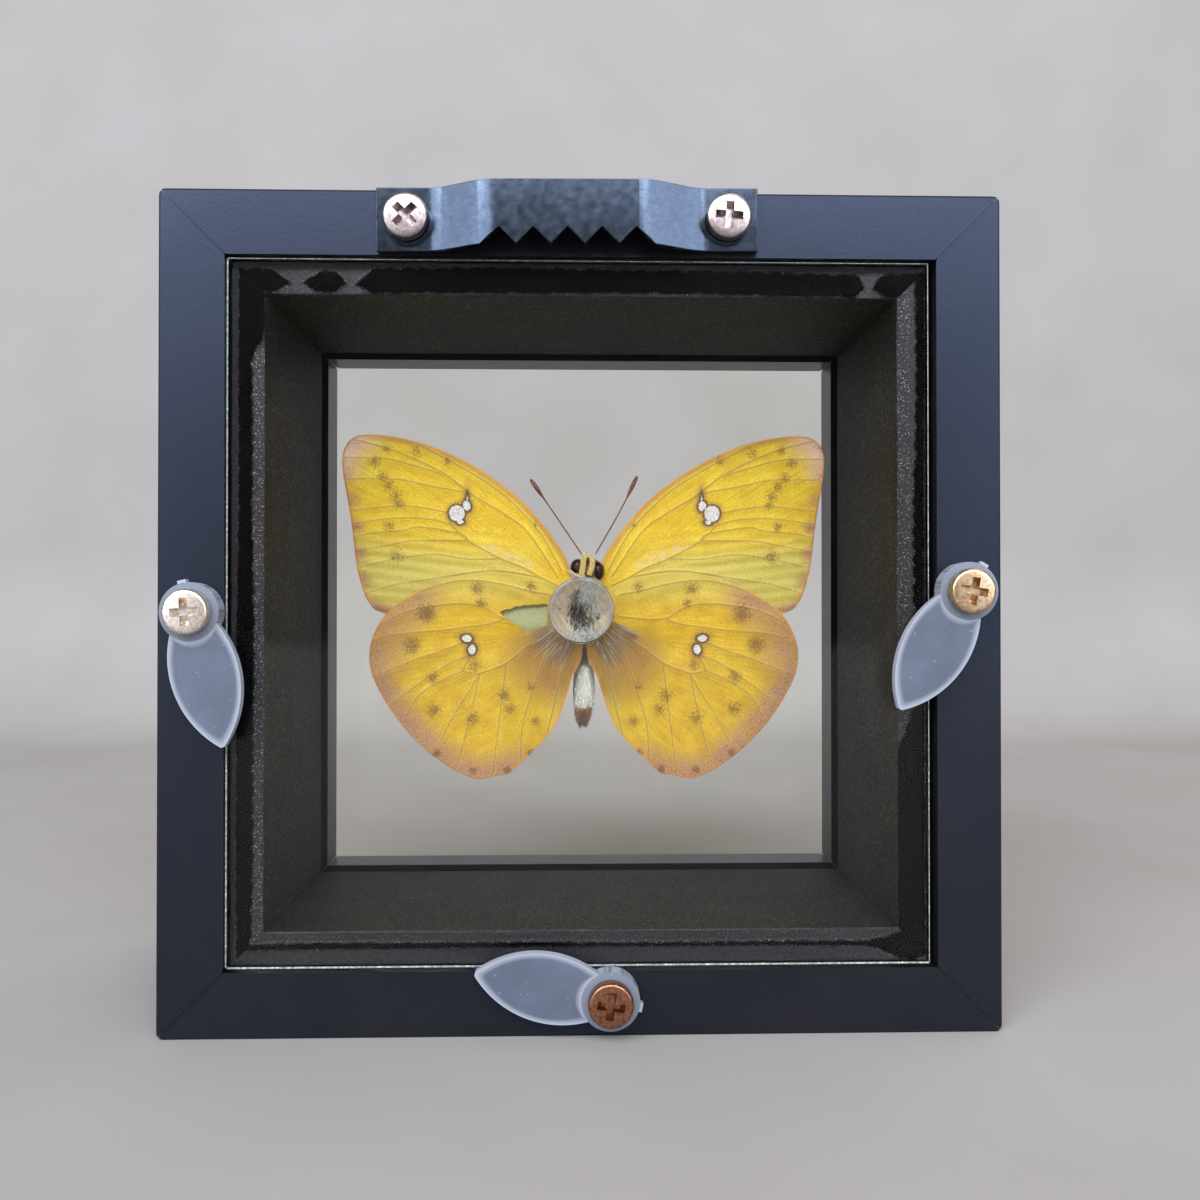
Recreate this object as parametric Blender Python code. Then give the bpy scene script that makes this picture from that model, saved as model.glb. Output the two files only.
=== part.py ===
# Framed butterfly specimen: a square shadow-box frame with glass on both faces.
# A spread sulphur butterfly stands on a clear post inside it.
# A stamped sawtooth hanger and three plastic turn buttons are screwed to the frame's back.
# +Z is up, the front looks along -Y, and the origin is the middle of the whole object's base.
import math

import bmesh
import bpy
from mathutils import Vector

MM = 0.001

# Frame: a black moulding with an L section, mitred at its four corners.
FRAME_SIDE = 127.0 * MM
FRAME_DEPTH = 50.8 * MM
REBATE_OPENING = 107.3 * MM
LIP_OPENING = 95.2 * MM
LIP_THICKNESS = 7.7 * MM
CORNER_ROUNDING = 1.0 * MM
CORNER_STEPS = 3
LONG_EDGE_ROUNDING = 0.35 * MM
MITRE_GAP = 0.2 * MM
WELD = 0.001 * MM

# What the rebate holds, from the back towards the front.
REST_GAP = 0.3 * MM
GLASS_THICKNESS = 2.0 * MM
BACK_GLASS_RECESS = 0.7 * MM
BACK_GLASS_SIZE = (106.1 * MM, 106.5 * MM)
BACK_GLASS_SHIFT = 0.45 * MM
FRONT_GLASS_SIZE = (106.5 * MM, 106.5 * MM)
GLASS_ARRIS = 0.2 * MM
SPACER_OPENING = 96.6 * MM

# Wood screws with a pan head and a cross recess.
SCREW_HEAD_RADIUS = 3.35 * MM
SCREW_HEAD_HEIGHT = 1.8 * MM
SCREW_SHANK_RADIUS = 1.6 * MM
SCREW_SHANK_LENGTH = 14.0 * MM
RECESS_REACH = 2.1 * MM
RECESS_SLOT = 1.2 * MM
RECESS_DEPTH = 1.3 * MM
HOLE_RADIUS = SCREW_SHANK_RADIUS + REST_GAP

# Sawtooth hanger: one stamped strip, bent out in the middle.
HANGER_LENGTH = 57.1 * MM
HANGER_HEIGHT = 9.5 * MM
HANGER_PLATE = 1.0 * MM
HANGER_RISE = 3.6 * MM
HANGER_BEND_START = 10.5 * MM
HANGER_BEND_END = 20.8 * MM
HANGER_CENTRE = (2.35 * MM, 58.8 * MM)
HANGER_TILT = math.radians(0.45)
HANGER_SCREW_REACH = 24.0 * MM
TOOTH_PITCH = 5.05 * MM
TOOTH_HEIGHT = 2.5 * MM
HANGER_TURNS = (45.0, 4.0)

# Turn buttons: a round boss with a leaf-shaped arm, held by one screw each.
BUTTON_TOP = 3.1 * MM
BOSS_RADIUS = 4.35 * MM
ARM_THICKNESS = 1.5 * MM
ARM_LENGTH = 20.4 * MM
ARM_HALF_WIDTH = 5.05 * MM
ARM_WIDEST = 9.6 * MM
NECK_HALF_WIDTH = 3.5 * MM
TIP_RADIUS = 0.7 * MM
NUB_SIZE = (1.3 * MM, 0.45 * MM)
BUTTON_EDGE = 0.2 * MM

# Clear post between the back glass and the thorax.
POST_RADIUS = 5.1 * MM
POST_LENGTH = 16.5 * MM
POST_CENTRE = (0.3 * MM, 0.3 * MM)

# Butterfly, measured from the middle of the frame; depths run from the back face.
WING_PLATE = 0.3 * MM
HINDWING_DEPTH = 23.4 * MM
FOREWING_DEPTH = 24.3 * MM
BODY_AXIS = -0.5 * MM
ANTENNA_DEPTH = 24.0 * MM
ANTENNA_RADIUS = 0.16 * MM
CLUB_RADIUS = 0.4 * MM

HALF_SIDE = FRAME_SIDE / 2
REBATE_HALF = REBATE_OPENING / 2
SCREW_SEAT = BUTTON_TOP + REST_GAP
HARDWARE_PROUD = SCREW_SEAT + SCREW_HEAD_HEIGHT
BACK_FACE = (FRAME_DEPTH - HARDWARE_PROUD) / 2

SPACER_START = BACK_GLASS_RECESS + GLASS_THICKNESS + REST_GAP
FRONT_GLASS_START = FRAME_DEPTH - LIP_THICKNESS - REST_GAP - GLASS_THICKNESS
SPACER_END = FRONT_GLASS_START - REST_GAP

# Screw positions on the back, as X and Z from the frame's middle, and each arm's direction.
# "left" and "right" are as seen from the front.
BUTTONS = {
    "left": {"at": (-57.45 * MM, 3.2 * MM), "points": (10.2, -17.3), "recess": 10.0},
    "right": {"at": (57.7 * MM, 0.1 * MM), "points": (-5.0, -20.0), "recess": -4.0},
    "bottom": {"at": (-4.0 * MM, -57.3 * MM), "points": (20.3, 4.3), "recess": 8.0},
}

# Half outlines, in millimetres from the body's axis and from the frame's middle.
FOREWING_EDGE = [
    (4.7, 4.2), (4.7, 9.4), (5.1, 12.2), (6.7, 14.8), (10.7, 19.0), (15.6, 22.9), (20.5, 25.9),
    (26.0, 28.4), (31.5, 29.9), (36.2, 30.5), (39.4, 30.1), (41.2, 28.2), (41.6, 25.2),
    (41.0, 21.0), (40.2, 16.6), (39.6, 12.1), (39.1, 8.0), (38.2, 4.4), (36.9, 1.5),
    (35.0, 0.0), (28.0, -1.6), (18.0, -1.2), (10.0, 0.4), (4.7, 2.0),
]
HINDWING_EDGE = [
    (4.7, 4.4), (9.5, 6.0), (15.5, 6.7), (21.0, 6.3), (25.3, 5.0), (29.6, 2.8), (33.3, 0.3),
    (35.7, -3.2), (36.8, -7.0), (36.3, -10.6), (34.7, -14.2), (32.1, -18.1), (29.3, -21.4),
    (26.2, -24.2), (22.7, -26.6), (19.6, -28.2), (17.6, -28.5), (15.4, -28.0), (13.0, -27.6),
    (10.2, -25.1), (7.1, -22.0), (5.1, -19.4), (3.6, -15.8), (2.2, -11.3), (1.2, -9.2),
    (0.9, -8.0), (2.3, -6.6), (3.8, -5.0), (4.7, -2.6),
]

# Body stations in millimetres: height, sideways shift, depth, half width, half thickness.
BODY_STATIONS = [
    (9.4, -0.7, 24.2, 0.7, 0.6), (8.9, -0.7, 24.1, 1.5, 1.2), (8.0, -0.6, 24.0, 2.5, 1.9),
    (6.8, -0.5, 24.0, 2.6, 2.1), (6.0, -0.3, 24.0, 1.9, 1.8), (5.2, -0.1, 23.9, 2.8, 2.7),
    (3.4, 0.0, 23.8, 3.9, 3.7), (0.6, 0.0, 23.8, 4.3, 4.0), (-2.2, 0.0, 23.8, 4.1, 3.9),
    (-4.2, 0.0, 24.3, 3.0, 2.8), (-5.6, 0.0, 24.9, 1.9, 1.5), (-7.6, 0.1, 25.6, 1.3, 1.2),
    (-9.8, 0.1, 25.9, 1.5, 1.5), (-12.4, 0.1, 25.8, 1.7, 1.6), (-15.4, 0.2, 25.5, 1.6, 1.5),
    (-17.8, 0.3, 25.2, 1.0, 1.0), (-19.3, 0.3, 25.0, 0.4, 0.4),
]

# Antennae in millimetres: where each leaves the head and where its club ends.
ANTENNAE = {
    "antenna_right": [(0.5, 9.9), (3.6, 14.5), (6.6, 18.9), (9.3, 22.8)],
    "antenna_left": [(-1.9, 10.1), (-4.5, 14.6), (-6.9, 19.0), (-9.0, 23.4)],
}


def clear_scene():
    for obj in list(bpy.data.objects):
        bpy.data.objects.remove(obj, do_unlink=True)


def finish(name, colour, roughness, metallic=0.0, transmission=0.0):
    material = bpy.data.materials.new(name)
    material.use_nodes = True
    shader = material.node_tree.nodes["Principled BSDF"]
    shader.inputs["Base Color"].default_value = (*colour, 1.0)
    shader.inputs["Roughness"].default_value = roughness
    shader.inputs["Metallic"].default_value = metallic
    shader.inputs["Transmission Weight"].default_value = transmission
    return material


def add_object(name, mesh, location, turn):
    obj = bpy.data.objects.new(name, mesh)
    bpy.context.collection.objects.link(obj)
    obj.parent = back_centre
    obj.location = location
    obj.rotation_euler.y = turn
    return obj


def add_piece(name, bm, material, location=(0, 0, 0), turn=0.0, smooth_angle=None):
    bmesh.ops.recalc_face_normals(bm, faces=bm.faces)
    mesh = bpy.data.meshes.new(name)
    bm.to_mesh(mesh)
    bm.free()
    mesh.materials.append(material)
    if smooth_angle is not None:
        mesh.shade_smooth()
        mesh.set_sharp_from_angle(angle=smooth_angle)
    return add_object(name, mesh, location, turn)


def cut(piece, bm, location, turn=0.0):
    """Cuts the shape of bm out of a piece; the cutter sits beside it in the same parent."""
    cutter = add_piece(piece.name + "_cutter", bm, piece.data.materials[0], location, turn)
    cutter.hide_render = True
    cutter.display_type = "WIRE"
    boolean = piece.modifiers.new("cut", "BOOLEAN")
    boolean.operation = "DIFFERENCE"
    boolean.solver = "EXACT"
    boolean.object = cutter


def ring_faces(bm, first, second):
    for index, vert in enumerate(first):
        after = (index + 1) % len(first)
        bm.faces.new((vert, first[after], second[after], second[index]))


def prism(outline, low, high):
    """A plate whose outline is in X and Z, between two Y values."""
    bm = bmesh.new()
    lower = [bm.verts.new((x, low, z)) for x, z in outline]
    upper = [bm.verts.new((x, high, z)) for x, z in outline]
    ring_faces(bm, lower, upper)
    bm.faces.new(lower)
    bm.faces.new(upper)
    return bm


def round_edges(bm, edges, offset, segments):
    bmesh.ops.bevel(bm, geom=edges, offset=offset, segments=segments, profile=0.5, affect="EDGES")


def turned(profile, steps):
    """A solid turned about Y; the profile runs from pole to pole as radius and Y."""
    bm = bmesh.new()
    first_pole = bm.verts.new((0, profile[0][1], 0))
    last_pole = bm.verts.new((0, profile[-1][1], 0))
    rings = []
    for radius, y in profile[1:-1]:
        angles = [2 * math.pi * step / steps for step in range(steps)]
        rings.append([bm.verts.new((radius * math.cos(a), y, radius * math.sin(a))) for a in angles])
    for first, second in zip(rings, rings[1:]):
        ring_faces(bm, first, second)
    for pole, ring in ((first_pole, rings[0]), (last_pole, rings[-1])):
        for index, vert in enumerate(ring):
            bm.faces.new((pole, vert, ring[(index + 1) % steps]))
    return bm


def cylinder(radius, low, high, steps):
    angles = [2 * math.pi * step / steps for step in range(steps)]
    return prism([(radius * math.cos(a), radius * math.sin(a)) for a in angles], low, high)


def rectangle(width, height):
    x = width / 2
    z = height / 2
    return [(-x, -z), (x, -z), (x, z), (-x, z)]


def smooth_outline(points, steps):
    """A closed curve through the given points, with a few steps between each two."""
    count = len(points)
    result = []
    for index in range(count):
        before, start, end, after = (Vector(points[(index + k) % count]) for k in (-1, 0, 1, 2))
        for step in range(steps):
            t = step / steps
            bend = 2 * start + (end - before) * t + (2 * before - 5 * start + 4 * end - after) * t ** 2
            bend += (3 * start - before - 3 * end + after) * t ** 3
            result.append((bend / 2).to_tuple())
    return result


def rounded_square(half, radius):
    """Corners of a square as short arcs; each corner is one point where the radius is nothing."""
    points = []
    for quarter in range(4):
        for step in range(CORNER_STEPS + 1):
            angle = (quarter + step / CORNER_STEPS) * math.pi / 2
            x_sign = (1, -1, -1, 1)[quarter]
            z_sign = (1, 1, -1, -1)[quarter]
            x = x_sign * (half - radius) + radius * math.cos(angle)
            points.append((x, z_sign * (half - radius) + radius * math.sin(angle)))
    return points


def frame_ring():
    """The moulding as one square ring, before it is cut at the mitres."""
    lip = HALF_SIDE - LIP_OPENING / 2
    lip_back = LIP_THICKNESS - FRAME_DEPTH
    rebate = HALF_SIDE - REBATE_HALF
    edge = LONG_EDGE_ROUNDING
    middle = edge * (1 - math.sqrt(0.5))
    section = [(edge, 0), (middle, -middle), (0, -edge), (0, edge - FRAME_DEPTH),
               (middle, middle - FRAME_DEPTH), (edge, -FRAME_DEPTH), (lip, -FRAME_DEPTH),
               (lip, lip_back), (rebate, lip_back), (rebate, 0)]
    bm = bmesh.new()
    loops = []
    for inset, y in section:
        outline = rounded_square(HALF_SIDE - inset, max(CORNER_ROUNDING - inset, 0))
        loops.append([bm.verts.new((x, y, z)) for x, z in outline])
    for first, second in zip(loops, loops[1:] + loops[:1]):
        ring_faces(bm, first, second)
    bmesh.ops.remove_doubles(bm, verts=bm.verts, dist=WELD)
    return bm


def keep_side(bm, normal, offset):
    """Keeps what lies past a plane and closes the cut."""
    geometry = bm.verts[:] + bm.edges[:] + bm.faces[:]
    result = bmesh.ops.bisect_plane(bm, geom=geometry, plane_co=Vector(normal).normalized() * offset,
                                    plane_no=normal, clear_inner=True)
    edges = [item for item in result["geom_cut"] if isinstance(item, bmesh.types.BMEdge)]
    bmesh.ops.holes_fill(bm, edges=edges)


def build_rails(material):
    """Four rails, each the quarter of the ring between two mitres."""
    rails = {}
    for name, (x, z) in {"top": (0, 1), "bottom": (0, -1), "left": (-1, 0), "right": (1, 0)}.items():
        bm = frame_ring()
        for side in (1, -1):
            keep_side(bm, (x + side * z, 0, z + side * x), MITRE_GAP / 2)
        rails[name] = add_piece("rail_" + name, bm, material, smooth_angle=math.radians(40))
    return rails


def build_spacers(material):
    """Strips that hold the panes apart: two over the full width, two between them."""
    inner = SPACER_OPENING / 2
    outer = REBATE_HALF - REST_GAP
    middle = (inner + outer) / 2
    thickness = outer - inner
    places = {
        "top": (2 * outer, thickness, 0, middle),
        "bottom": (2 * outer, thickness, 0, -middle),
        "left": (thickness, 2 * (inner - REST_GAP), -middle, 0),
        "right": (thickness, 2 * (inner - REST_GAP), middle, 0),
    }
    for name, (width, height, x, z) in places.items():
        bm = prism(rectangle(width, height), -SPACER_END, -SPACER_START)
        add_piece("spacer_" + name, bm, material, (x, 0, z))


def build_glass(name, size, start, shift, material):
    bm = prism(rectangle(*size), -start - GLASS_THICKNESS, -start)
    round_edges(bm, bm.edges[:], GLASS_ARRIS, 1)
    add_piece(name, bm, material, (shift, 0, 0))


def build_screw(name, x, z, seat, recess_turn, material):
    """A turned screw with a cross recess; its origin is on the screw's axis."""
    radius = SCREW_HEAD_RADIUS
    height = SCREW_HEAD_HEIGHT
    shank = SCREW_SHANK_RADIUS
    profile = [(0, -SCREW_SHANK_LENGTH), (0.4 * shank, 0.6 * shank - SCREW_SHANK_LENGTH),
               (shank, 3 * shank - SCREW_SHANK_LENGTH), (shank, 0), (radius, 0), (radius, 0.45 * height),
               (0.93 * radius, 0.75 * height), (0.7 * radius, 0.94 * height), (0, height)]
    location = (x, seat, z)
    screw = add_piece(name, turned(profile, 24), material, location, smooth_angle=math.radians(40))
    half = RECESS_SLOT / 2
    quarter = [(RECESS_REACH, -half), (RECESS_REACH, half), (half, half)]
    outline = []
    for turn in range(4):
        cosine, sine = round(math.cos(turn * math.pi / 2)), round(math.sin(turn * math.pi / 2))
        outline += [(px * cosine - pz * sine, px * sine + pz * cosine) for px, pz in quarter]
    bm = prism(outline, height - RECESS_DEPTH, 1.5 * height)
    for vert in bm.verts:
        if vert.co.y < height:
            vert.co.x *= 0.6
            vert.co.z *= 0.6
    cut(screw, bm, location, math.radians(recess_turn))


def drill_rail(rail, x, z):
    """A pilot hole from the back face, wider than the shank all round and at its end."""
    bm = cylinder(HOLE_RADIUS, -SCREW_SHANK_LENGTH - REST_GAP, REST_GAP, 16)
    cut(rail, bm, (x, 0, z))


def hanger_lower_edge(x):
    """Height of the toothed edge at a distance from the hanger's middle."""
    low = -HANGER_HEIGHT / 2
    reach = abs(x)
    if reach >= 2.5 * TOOTH_PITCH:
        return low
    within = reach % TOOTH_PITCH
    return low + TOOTH_HEIGHT * abs(1 - 2 * within / TOOTH_PITCH)


def hanger_rise(x):
    """How far the strip is bent out, and the slope there."""
    t = (HANGER_BEND_END - abs(x)) / (HANGER_BEND_END - HANGER_BEND_START)
    t = min(max(t, 0.0), 1.0)
    slope = 6 * t * (1 - t) * HANGER_RISE / (HANGER_BEND_END - HANGER_BEND_START)
    return HANGER_RISE * t * t * (3 - 2 * t), -math.copysign(slope, x)


def build_hanger(material, screw_material, rail):
    half = HANGER_LENGTH / 2
    bends = [HANGER_BEND_START + (HANGER_BEND_END - HANGER_BEND_START) * step / 8 for step in range(9)]
    teeth = [TOOTH_PITCH * step / 2 for step in range(6)]
    reaches = sorted({round(value, 6) for value in bends + teeth + [half]})
    stations = [-value for value in reversed(reaches) if value > 0] + reaches
    bm = bmesh.new()
    columns = []
    for x in stations:
        rise, slope = hanger_rise(x)
        lean = Vector((-slope, 1)).normalized() * HANGER_PLATE
        low, high = hanger_lower_edge(x), HANGER_HEIGHT / 2
        corners = [(x, rise, low), (x + lean.x, rise + lean.y, low),
                   (x + lean.x, rise + lean.y, high), (x, rise, high)]
        columns.append([bm.verts.new(corner) for corner in corners])
    for first, second in zip(columns, columns[1:]):
        ring_faces(bm, first, second)
    bm.faces.new(columns[0])
    bm.faces.new(columns[-1])
    x, z = HANGER_CENTRE
    hanger = add_piece("sawtooth_hanger", bm, material, (x, REST_GAP, z), HANGER_TILT, math.radians(30))
    for name, side, turn in (("right", 1, HANGER_TURNS[0]), ("left", -1, HANGER_TURNS[1])):
        screw_x = x + side * HANGER_SCREW_REACH * math.cos(HANGER_TILT)
        screw_z = z - side * HANGER_SCREW_REACH * math.sin(HANGER_TILT)
        hole = cylinder(HOLE_RADIUS, -REST_GAP, HANGER_PLATE + REST_GAP, 16)
        cut(hanger, hole, (screw_x, REST_GAP, screw_z))
        drill_rail(rail, screw_x, screw_z)
        seat = REST_GAP + HANGER_PLATE + REST_GAP
        build_screw("hanger_screw_" + name, screw_x, screw_z, seat, turn, screw_material)


def arc_through(start, middle, end, steps):
    """Points on the circle through three points, from the first to the last."""
    (ax, az), (bx, bz), (cx, cz) = start, middle, end
    scale = 2 * (ax * (bz - cz) + bx * (cz - az) + cx * (az - bz))
    squares = (ax * ax + az * az, bx * bx + bz * bz, cx * cx + cz * cz)
    x = (squares[0] * (bz - cz) + squares[1] * (cz - az) + squares[2] * (az - bz)) / scale
    z = (squares[0] * (cx - bx) + squares[1] * (ax - cx) + squares[2] * (bx - ax)) / scale
    radius = math.hypot(ax - x, az - z)
    first = math.atan2(az - z, ax - x)
    sweep = (math.atan2(cz - z, cx - x) - first + math.pi) % (2 * math.pi) - math.pi
    angles = [first + sweep * step / steps for step in range(steps + 1)]
    return [(x + radius * math.cos(a), z + radius * math.sin(a)) for a in angles]


def button_outlines():
    """The arm runs along +X. Gives the boss's outer arc, the arm's edge and the neck line."""
    neck_x = math.sqrt(BOSS_RADIUS ** 2 - NECK_HALF_WIDTH ** 2)
    neck_angle = math.atan2(NECK_HALF_WIDTH, neck_x)
    tip_start = (ARM_LENGTH - 0.6 * TIP_RADIUS, TIP_RADIUS)
    upper = arc_through((neck_x, NECK_HALF_WIDTH), (ARM_WIDEST, ARM_HALF_WIDTH), tip_start, 12)
    lower = [(x, -z) for x, z in reversed(upper)]
    arm = upper + [(ARM_LENGTH, 0.0)] + lower
    nub_half, nub_reach = NUB_SIZE[0] / 2, NUB_SIZE[1]
    nub_angle = math.asin(nub_half / BOSS_RADIUS)
    sweep = math.pi - nub_angle - neck_angle
    upper_boss = []
    for step in range(10):
        angle = neck_angle + sweep * step / 9
        upper_boss.append((BOSS_RADIUS * math.cos(angle), BOSS_RADIUS * math.sin(angle)))
    lower_boss = [(x, -z) for x, z in reversed(upper_boss)]
    nub = [(-BOSS_RADIUS - nub_reach, nub_half), (-BOSS_RADIUS - nub_reach, -nub_half)]
    boss = upper_boss + nub + lower_boss
    neck = []
    for step in range(1, 6):
        angle = neck_angle * (1 - step / 3)
        neck.append((BOSS_RADIUS * math.cos(angle), BOSS_RADIUS * math.sin(angle)))
    return boss, arm, neck


def build_button(name, place, material, screw_material, rail):
    """Origin on the screw's axis at the rail's face; the boss is deeper than the arm."""
    boss, arm, neck = button_outlines()
    bm = bmesh.new()
    levels = {}
    for level, y in (("top", BUTTON_TOP), ("arm", BUTTON_TOP - ARM_THICKNESS), ("base", REST_GAP)):
        levels[level] = y
    top_boss = [bm.verts.new((x, levels["top"], z)) for x, z in boss]
    base_boss = [bm.verts.new((x, levels["base"], z)) for x, z in boss]
    top_arm = [bm.verts.new((x, levels["top"], z)) for x, z in reversed(arm[1:-1])]
    under_arm = [bm.verts.new((x, levels["arm"], z)) for x, z in reversed(arm)]
    base_neck = [bm.verts.new((x, levels["base"], z)) for x, z in reversed(neck)]
    under_neck = [bm.verts.new((x, levels["arm"], z)) for x, z in reversed(neck)]
    top_outline = top_boss + top_arm
    bm.faces.new(top_outline)
    bm.faces.new(base_boss + base_neck)
    bm.faces.new(under_arm + under_neck[::-1])
    for index in range(1, len(boss) - 2):
        bm.faces.new((top_boss[index], top_boss[index + 1], base_boss[index + 1], base_boss[index]))
    bm.faces.new((under_arm[-1], top_boss[0], top_boss[1], base_boss[1], base_boss[0]))
    bm.faces.new((top_boss[-2], top_boss[-1], under_arm[0], base_boss[-1], base_boss[-2]))
    rim = [top_boss[-1]] + top_arm + [top_boss[0]]
    for index in range(len(rim) - 1):
        bm.faces.new((rim[index], rim[index + 1], under_arm[index + 1], under_arm[index]))
    neck_top = [under_arm[0]] + under_neck + [under_arm[-1]]
    neck_base = [base_boss[-1]] + base_neck + [base_boss[0]]
    for index in range(len(neck_top) - 1):
        bm.faces.new((neck_top[index], neck_top[index + 1], neck_base[index + 1], neck_base[index]))
    top_edges = [edge for edge in bm.edges
                 if all(vert in top_outline for vert in edge.verts) and len(edge.link_faces) == 2]
    round_edges(bm, top_edges, BUTTON_EDGE, 1)
    x, z = place["at"]
    turn = -math.atan2(place["points"][1], place["points"][0])
    button = add_piece("turn_button_" + name, bm, material, (x, 0, z), turn, math.radians(35))
    cut(button, cylinder(HOLE_RADIUS, 0, BUTTON_TOP + REST_GAP, 16), (x, 0, z))
    drill_rail(rail, x, z)
    build_screw("button_screw_" + name, x, z, SCREW_SEAT, place["recess"], screw_material)


def build_post(material):
    bm = cylinder(POST_RADIUS, -SPACER_START - POST_LENGTH, -SPACER_START, 40)
    x, z = POST_CENTRE
    add_piece("clear_post", bm, material, (x, 0, z), smooth_angle=math.radians(30))


def build_wing(name, half_outline, depth, side, material):
    points = [(side * x * MM, z * MM) for x, z in half_outline]
    bm = prism(smooth_outline(points, 2), -WING_PLATE / 2, WING_PLATE / 2)
    add_piece(name, bm, material, (BODY_AXIS, -depth, 0))


def build_body(material):
    """Head, thorax and abdomen as one solid through elliptical stations."""
    bm = bmesh.new()
    sides = 20
    rings = []
    for z, x, depth, half_width, half_thick in BODY_STATIONS:
        ring = []
        for side in range(sides):
            angle = 2 * math.pi * side / sides
            across = (x + half_width * math.cos(angle)) * MM
            ring.append(bm.verts.new((across, (half_thick * math.sin(angle) - depth) * MM, z * MM)))
        rings.append(ring)
    for first, second in zip(rings, rings[1:]):
        ring_faces(bm, first, second)
    bm.faces.new(rings[0])
    bm.faces.new(rings[-1])
    add_piece("butterfly_body", bm, material, (BODY_AXIS, 0, 0), smooth_angle=math.radians(60))


def build_antenna(name, route, material):
    """A tapered thread that thickens to its club."""
    steps = 14
    bm = bmesh.new()
    rings = []
    start, end = Vector(route[0]), Vector(route[-1])
    along = (end - start).normalized()
    for step in range(steps + 1):
        t = step / steps * (len(route) - 1)
        index = min(int(t), len(route) - 2)
        point = Vector(route[index]).lerp(Vector(route[index + 1]), t - index) * MM
        club = max(0.0, (step / steps - 0.72) / 0.28)
        radius = ANTENNA_RADIUS + (CLUB_RADIUS - ANTENNA_RADIUS) * math.sin(0.85 * math.pi * club)
        ring = []
        for side in range(8):
            angle = 2 * math.pi * side / 8
            across = radius * math.cos(angle)
            out = radius * math.sin(angle) - ANTENNA_DEPTH
            ring.append(bm.verts.new((point.x - across * along.y, out, point.y + across * along.x)))
        rings.append(ring)
    for first, second in zip(rings, rings[1:]):
        ring_faces(bm, first, second)
    bm.faces.new(rings[0])
    bm.faces.new(rings[-1])
    add_piece(name, bm, material, (BODY_AXIS, 0, 0), smooth_angle=math.radians(50))


clear_scene()

# Every piece hangs from the middle of the frame's back face.
back_centre = bpy.data.objects.new("back_centre", None)
bpy.context.collection.objects.link(back_centre)
back_centre.location = (0, BACK_FACE, HALF_SIDE)

black_paint = finish("black_painted_wood", (0.018, 0.018, 0.021), 0.45)
spacer_stain = finish("dark_spacer_wood", (0.045, 0.04, 0.034), 0.6)
clear_glass = finish("clear_glass", (0.95, 0.98, 0.96), 0.02, transmission=1.0)
zinc_plate = finish("zinc_plated_steel", (0.33, 0.4, 0.5), 0.35, metallic=1.0)
nickel_plate = finish("nickel_plated_steel", (0.62, 0.55, 0.54), 0.3, metallic=1.0)
brass_plate = finish("brass_plated_steel", (0.72, 0.48, 0.28), 0.3, metallic=1.0)
milky_plastic = finish("milky_plastic", (0.6, 0.66, 0.74), 0.4, transmission=0.4)
clear_acrylic = finish("clear_acrylic", (0.92, 0.92, 0.9), 0.05, transmission=1.0)
wing_scales = finish("wing_scales", (0.78, 0.62, 0.12), 0.75)
body_hair = finish("body_hair", (0.3, 0.26, 0.17), 0.85)
antenna_brown = finish("antenna_brown", (0.25, 0.1, 0.06), 0.5)

rails = build_rails(black_paint)
build_spacers(spacer_stain)
build_glass("front_glass", FRONT_GLASS_SIZE, FRONT_GLASS_START, 0, clear_glass)
build_glass("back_glass", BACK_GLASS_SIZE, BACK_GLASS_RECESS, BACK_GLASS_SHIFT, clear_glass)
build_hanger(zinc_plate, nickel_plate, rails["top"])
for button_name, button_place in BUTTONS.items():
    build_button(button_name, button_place, milky_plastic, brass_plate, rails[button_name])
build_post(clear_acrylic)
build_body(body_hair)
for wing_side, direction in (("left", -1), ("right", 1)):
    build_wing("forewing_" + wing_side, FOREWING_EDGE, FOREWING_DEPTH, direction, wing_scales)
    build_wing("hindwing_" + wing_side, HINDWING_EDGE, HINDWING_DEPTH, direction, wing_scales)
for antenna_name, antenna_route in ANTENNAE.items():
    build_antenna(antenna_name, antenna_route, antenna_brown)
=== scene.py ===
import math

import bpy
import numpy as np
from mathutils import Matrix, Vector


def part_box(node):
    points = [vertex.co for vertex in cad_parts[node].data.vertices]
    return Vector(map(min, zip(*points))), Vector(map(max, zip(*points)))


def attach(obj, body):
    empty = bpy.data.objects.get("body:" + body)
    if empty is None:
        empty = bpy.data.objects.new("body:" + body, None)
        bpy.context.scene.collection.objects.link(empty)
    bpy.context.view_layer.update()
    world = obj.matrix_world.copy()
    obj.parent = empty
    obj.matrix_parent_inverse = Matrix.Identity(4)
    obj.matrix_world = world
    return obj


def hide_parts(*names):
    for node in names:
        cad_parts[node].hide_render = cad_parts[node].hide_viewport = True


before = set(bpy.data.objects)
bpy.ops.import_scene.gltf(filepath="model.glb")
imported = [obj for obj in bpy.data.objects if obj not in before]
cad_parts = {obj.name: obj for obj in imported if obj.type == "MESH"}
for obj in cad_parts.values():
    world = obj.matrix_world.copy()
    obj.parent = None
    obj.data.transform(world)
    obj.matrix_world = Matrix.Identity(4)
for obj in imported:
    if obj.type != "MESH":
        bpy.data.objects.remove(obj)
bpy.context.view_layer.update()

# Framed sulphur butterfly in a black shadow box, looked at from its hanger side.
# Places are millimetres across, up and deep from the middle of the frame's back face.
mm = 0.001
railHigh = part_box("rail_top")[1]
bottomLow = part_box("rail_bottom")[0]
backFace = railHigh.y
middleUp = (railHigh.z + bottomLow.z) / 2


def place(across, deep, up):
    return Vector((across * mm, backFace - deep * mm, middleUp + up * mm))


def placeAll(across, deep, up):
    # The same for arrays of places.
    across, deep, up = np.broadcast_arrays(across, deep, up)
    return np.column_stack([across * mm, backFace - deep * mm, middleUp + up * mm])


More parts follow.
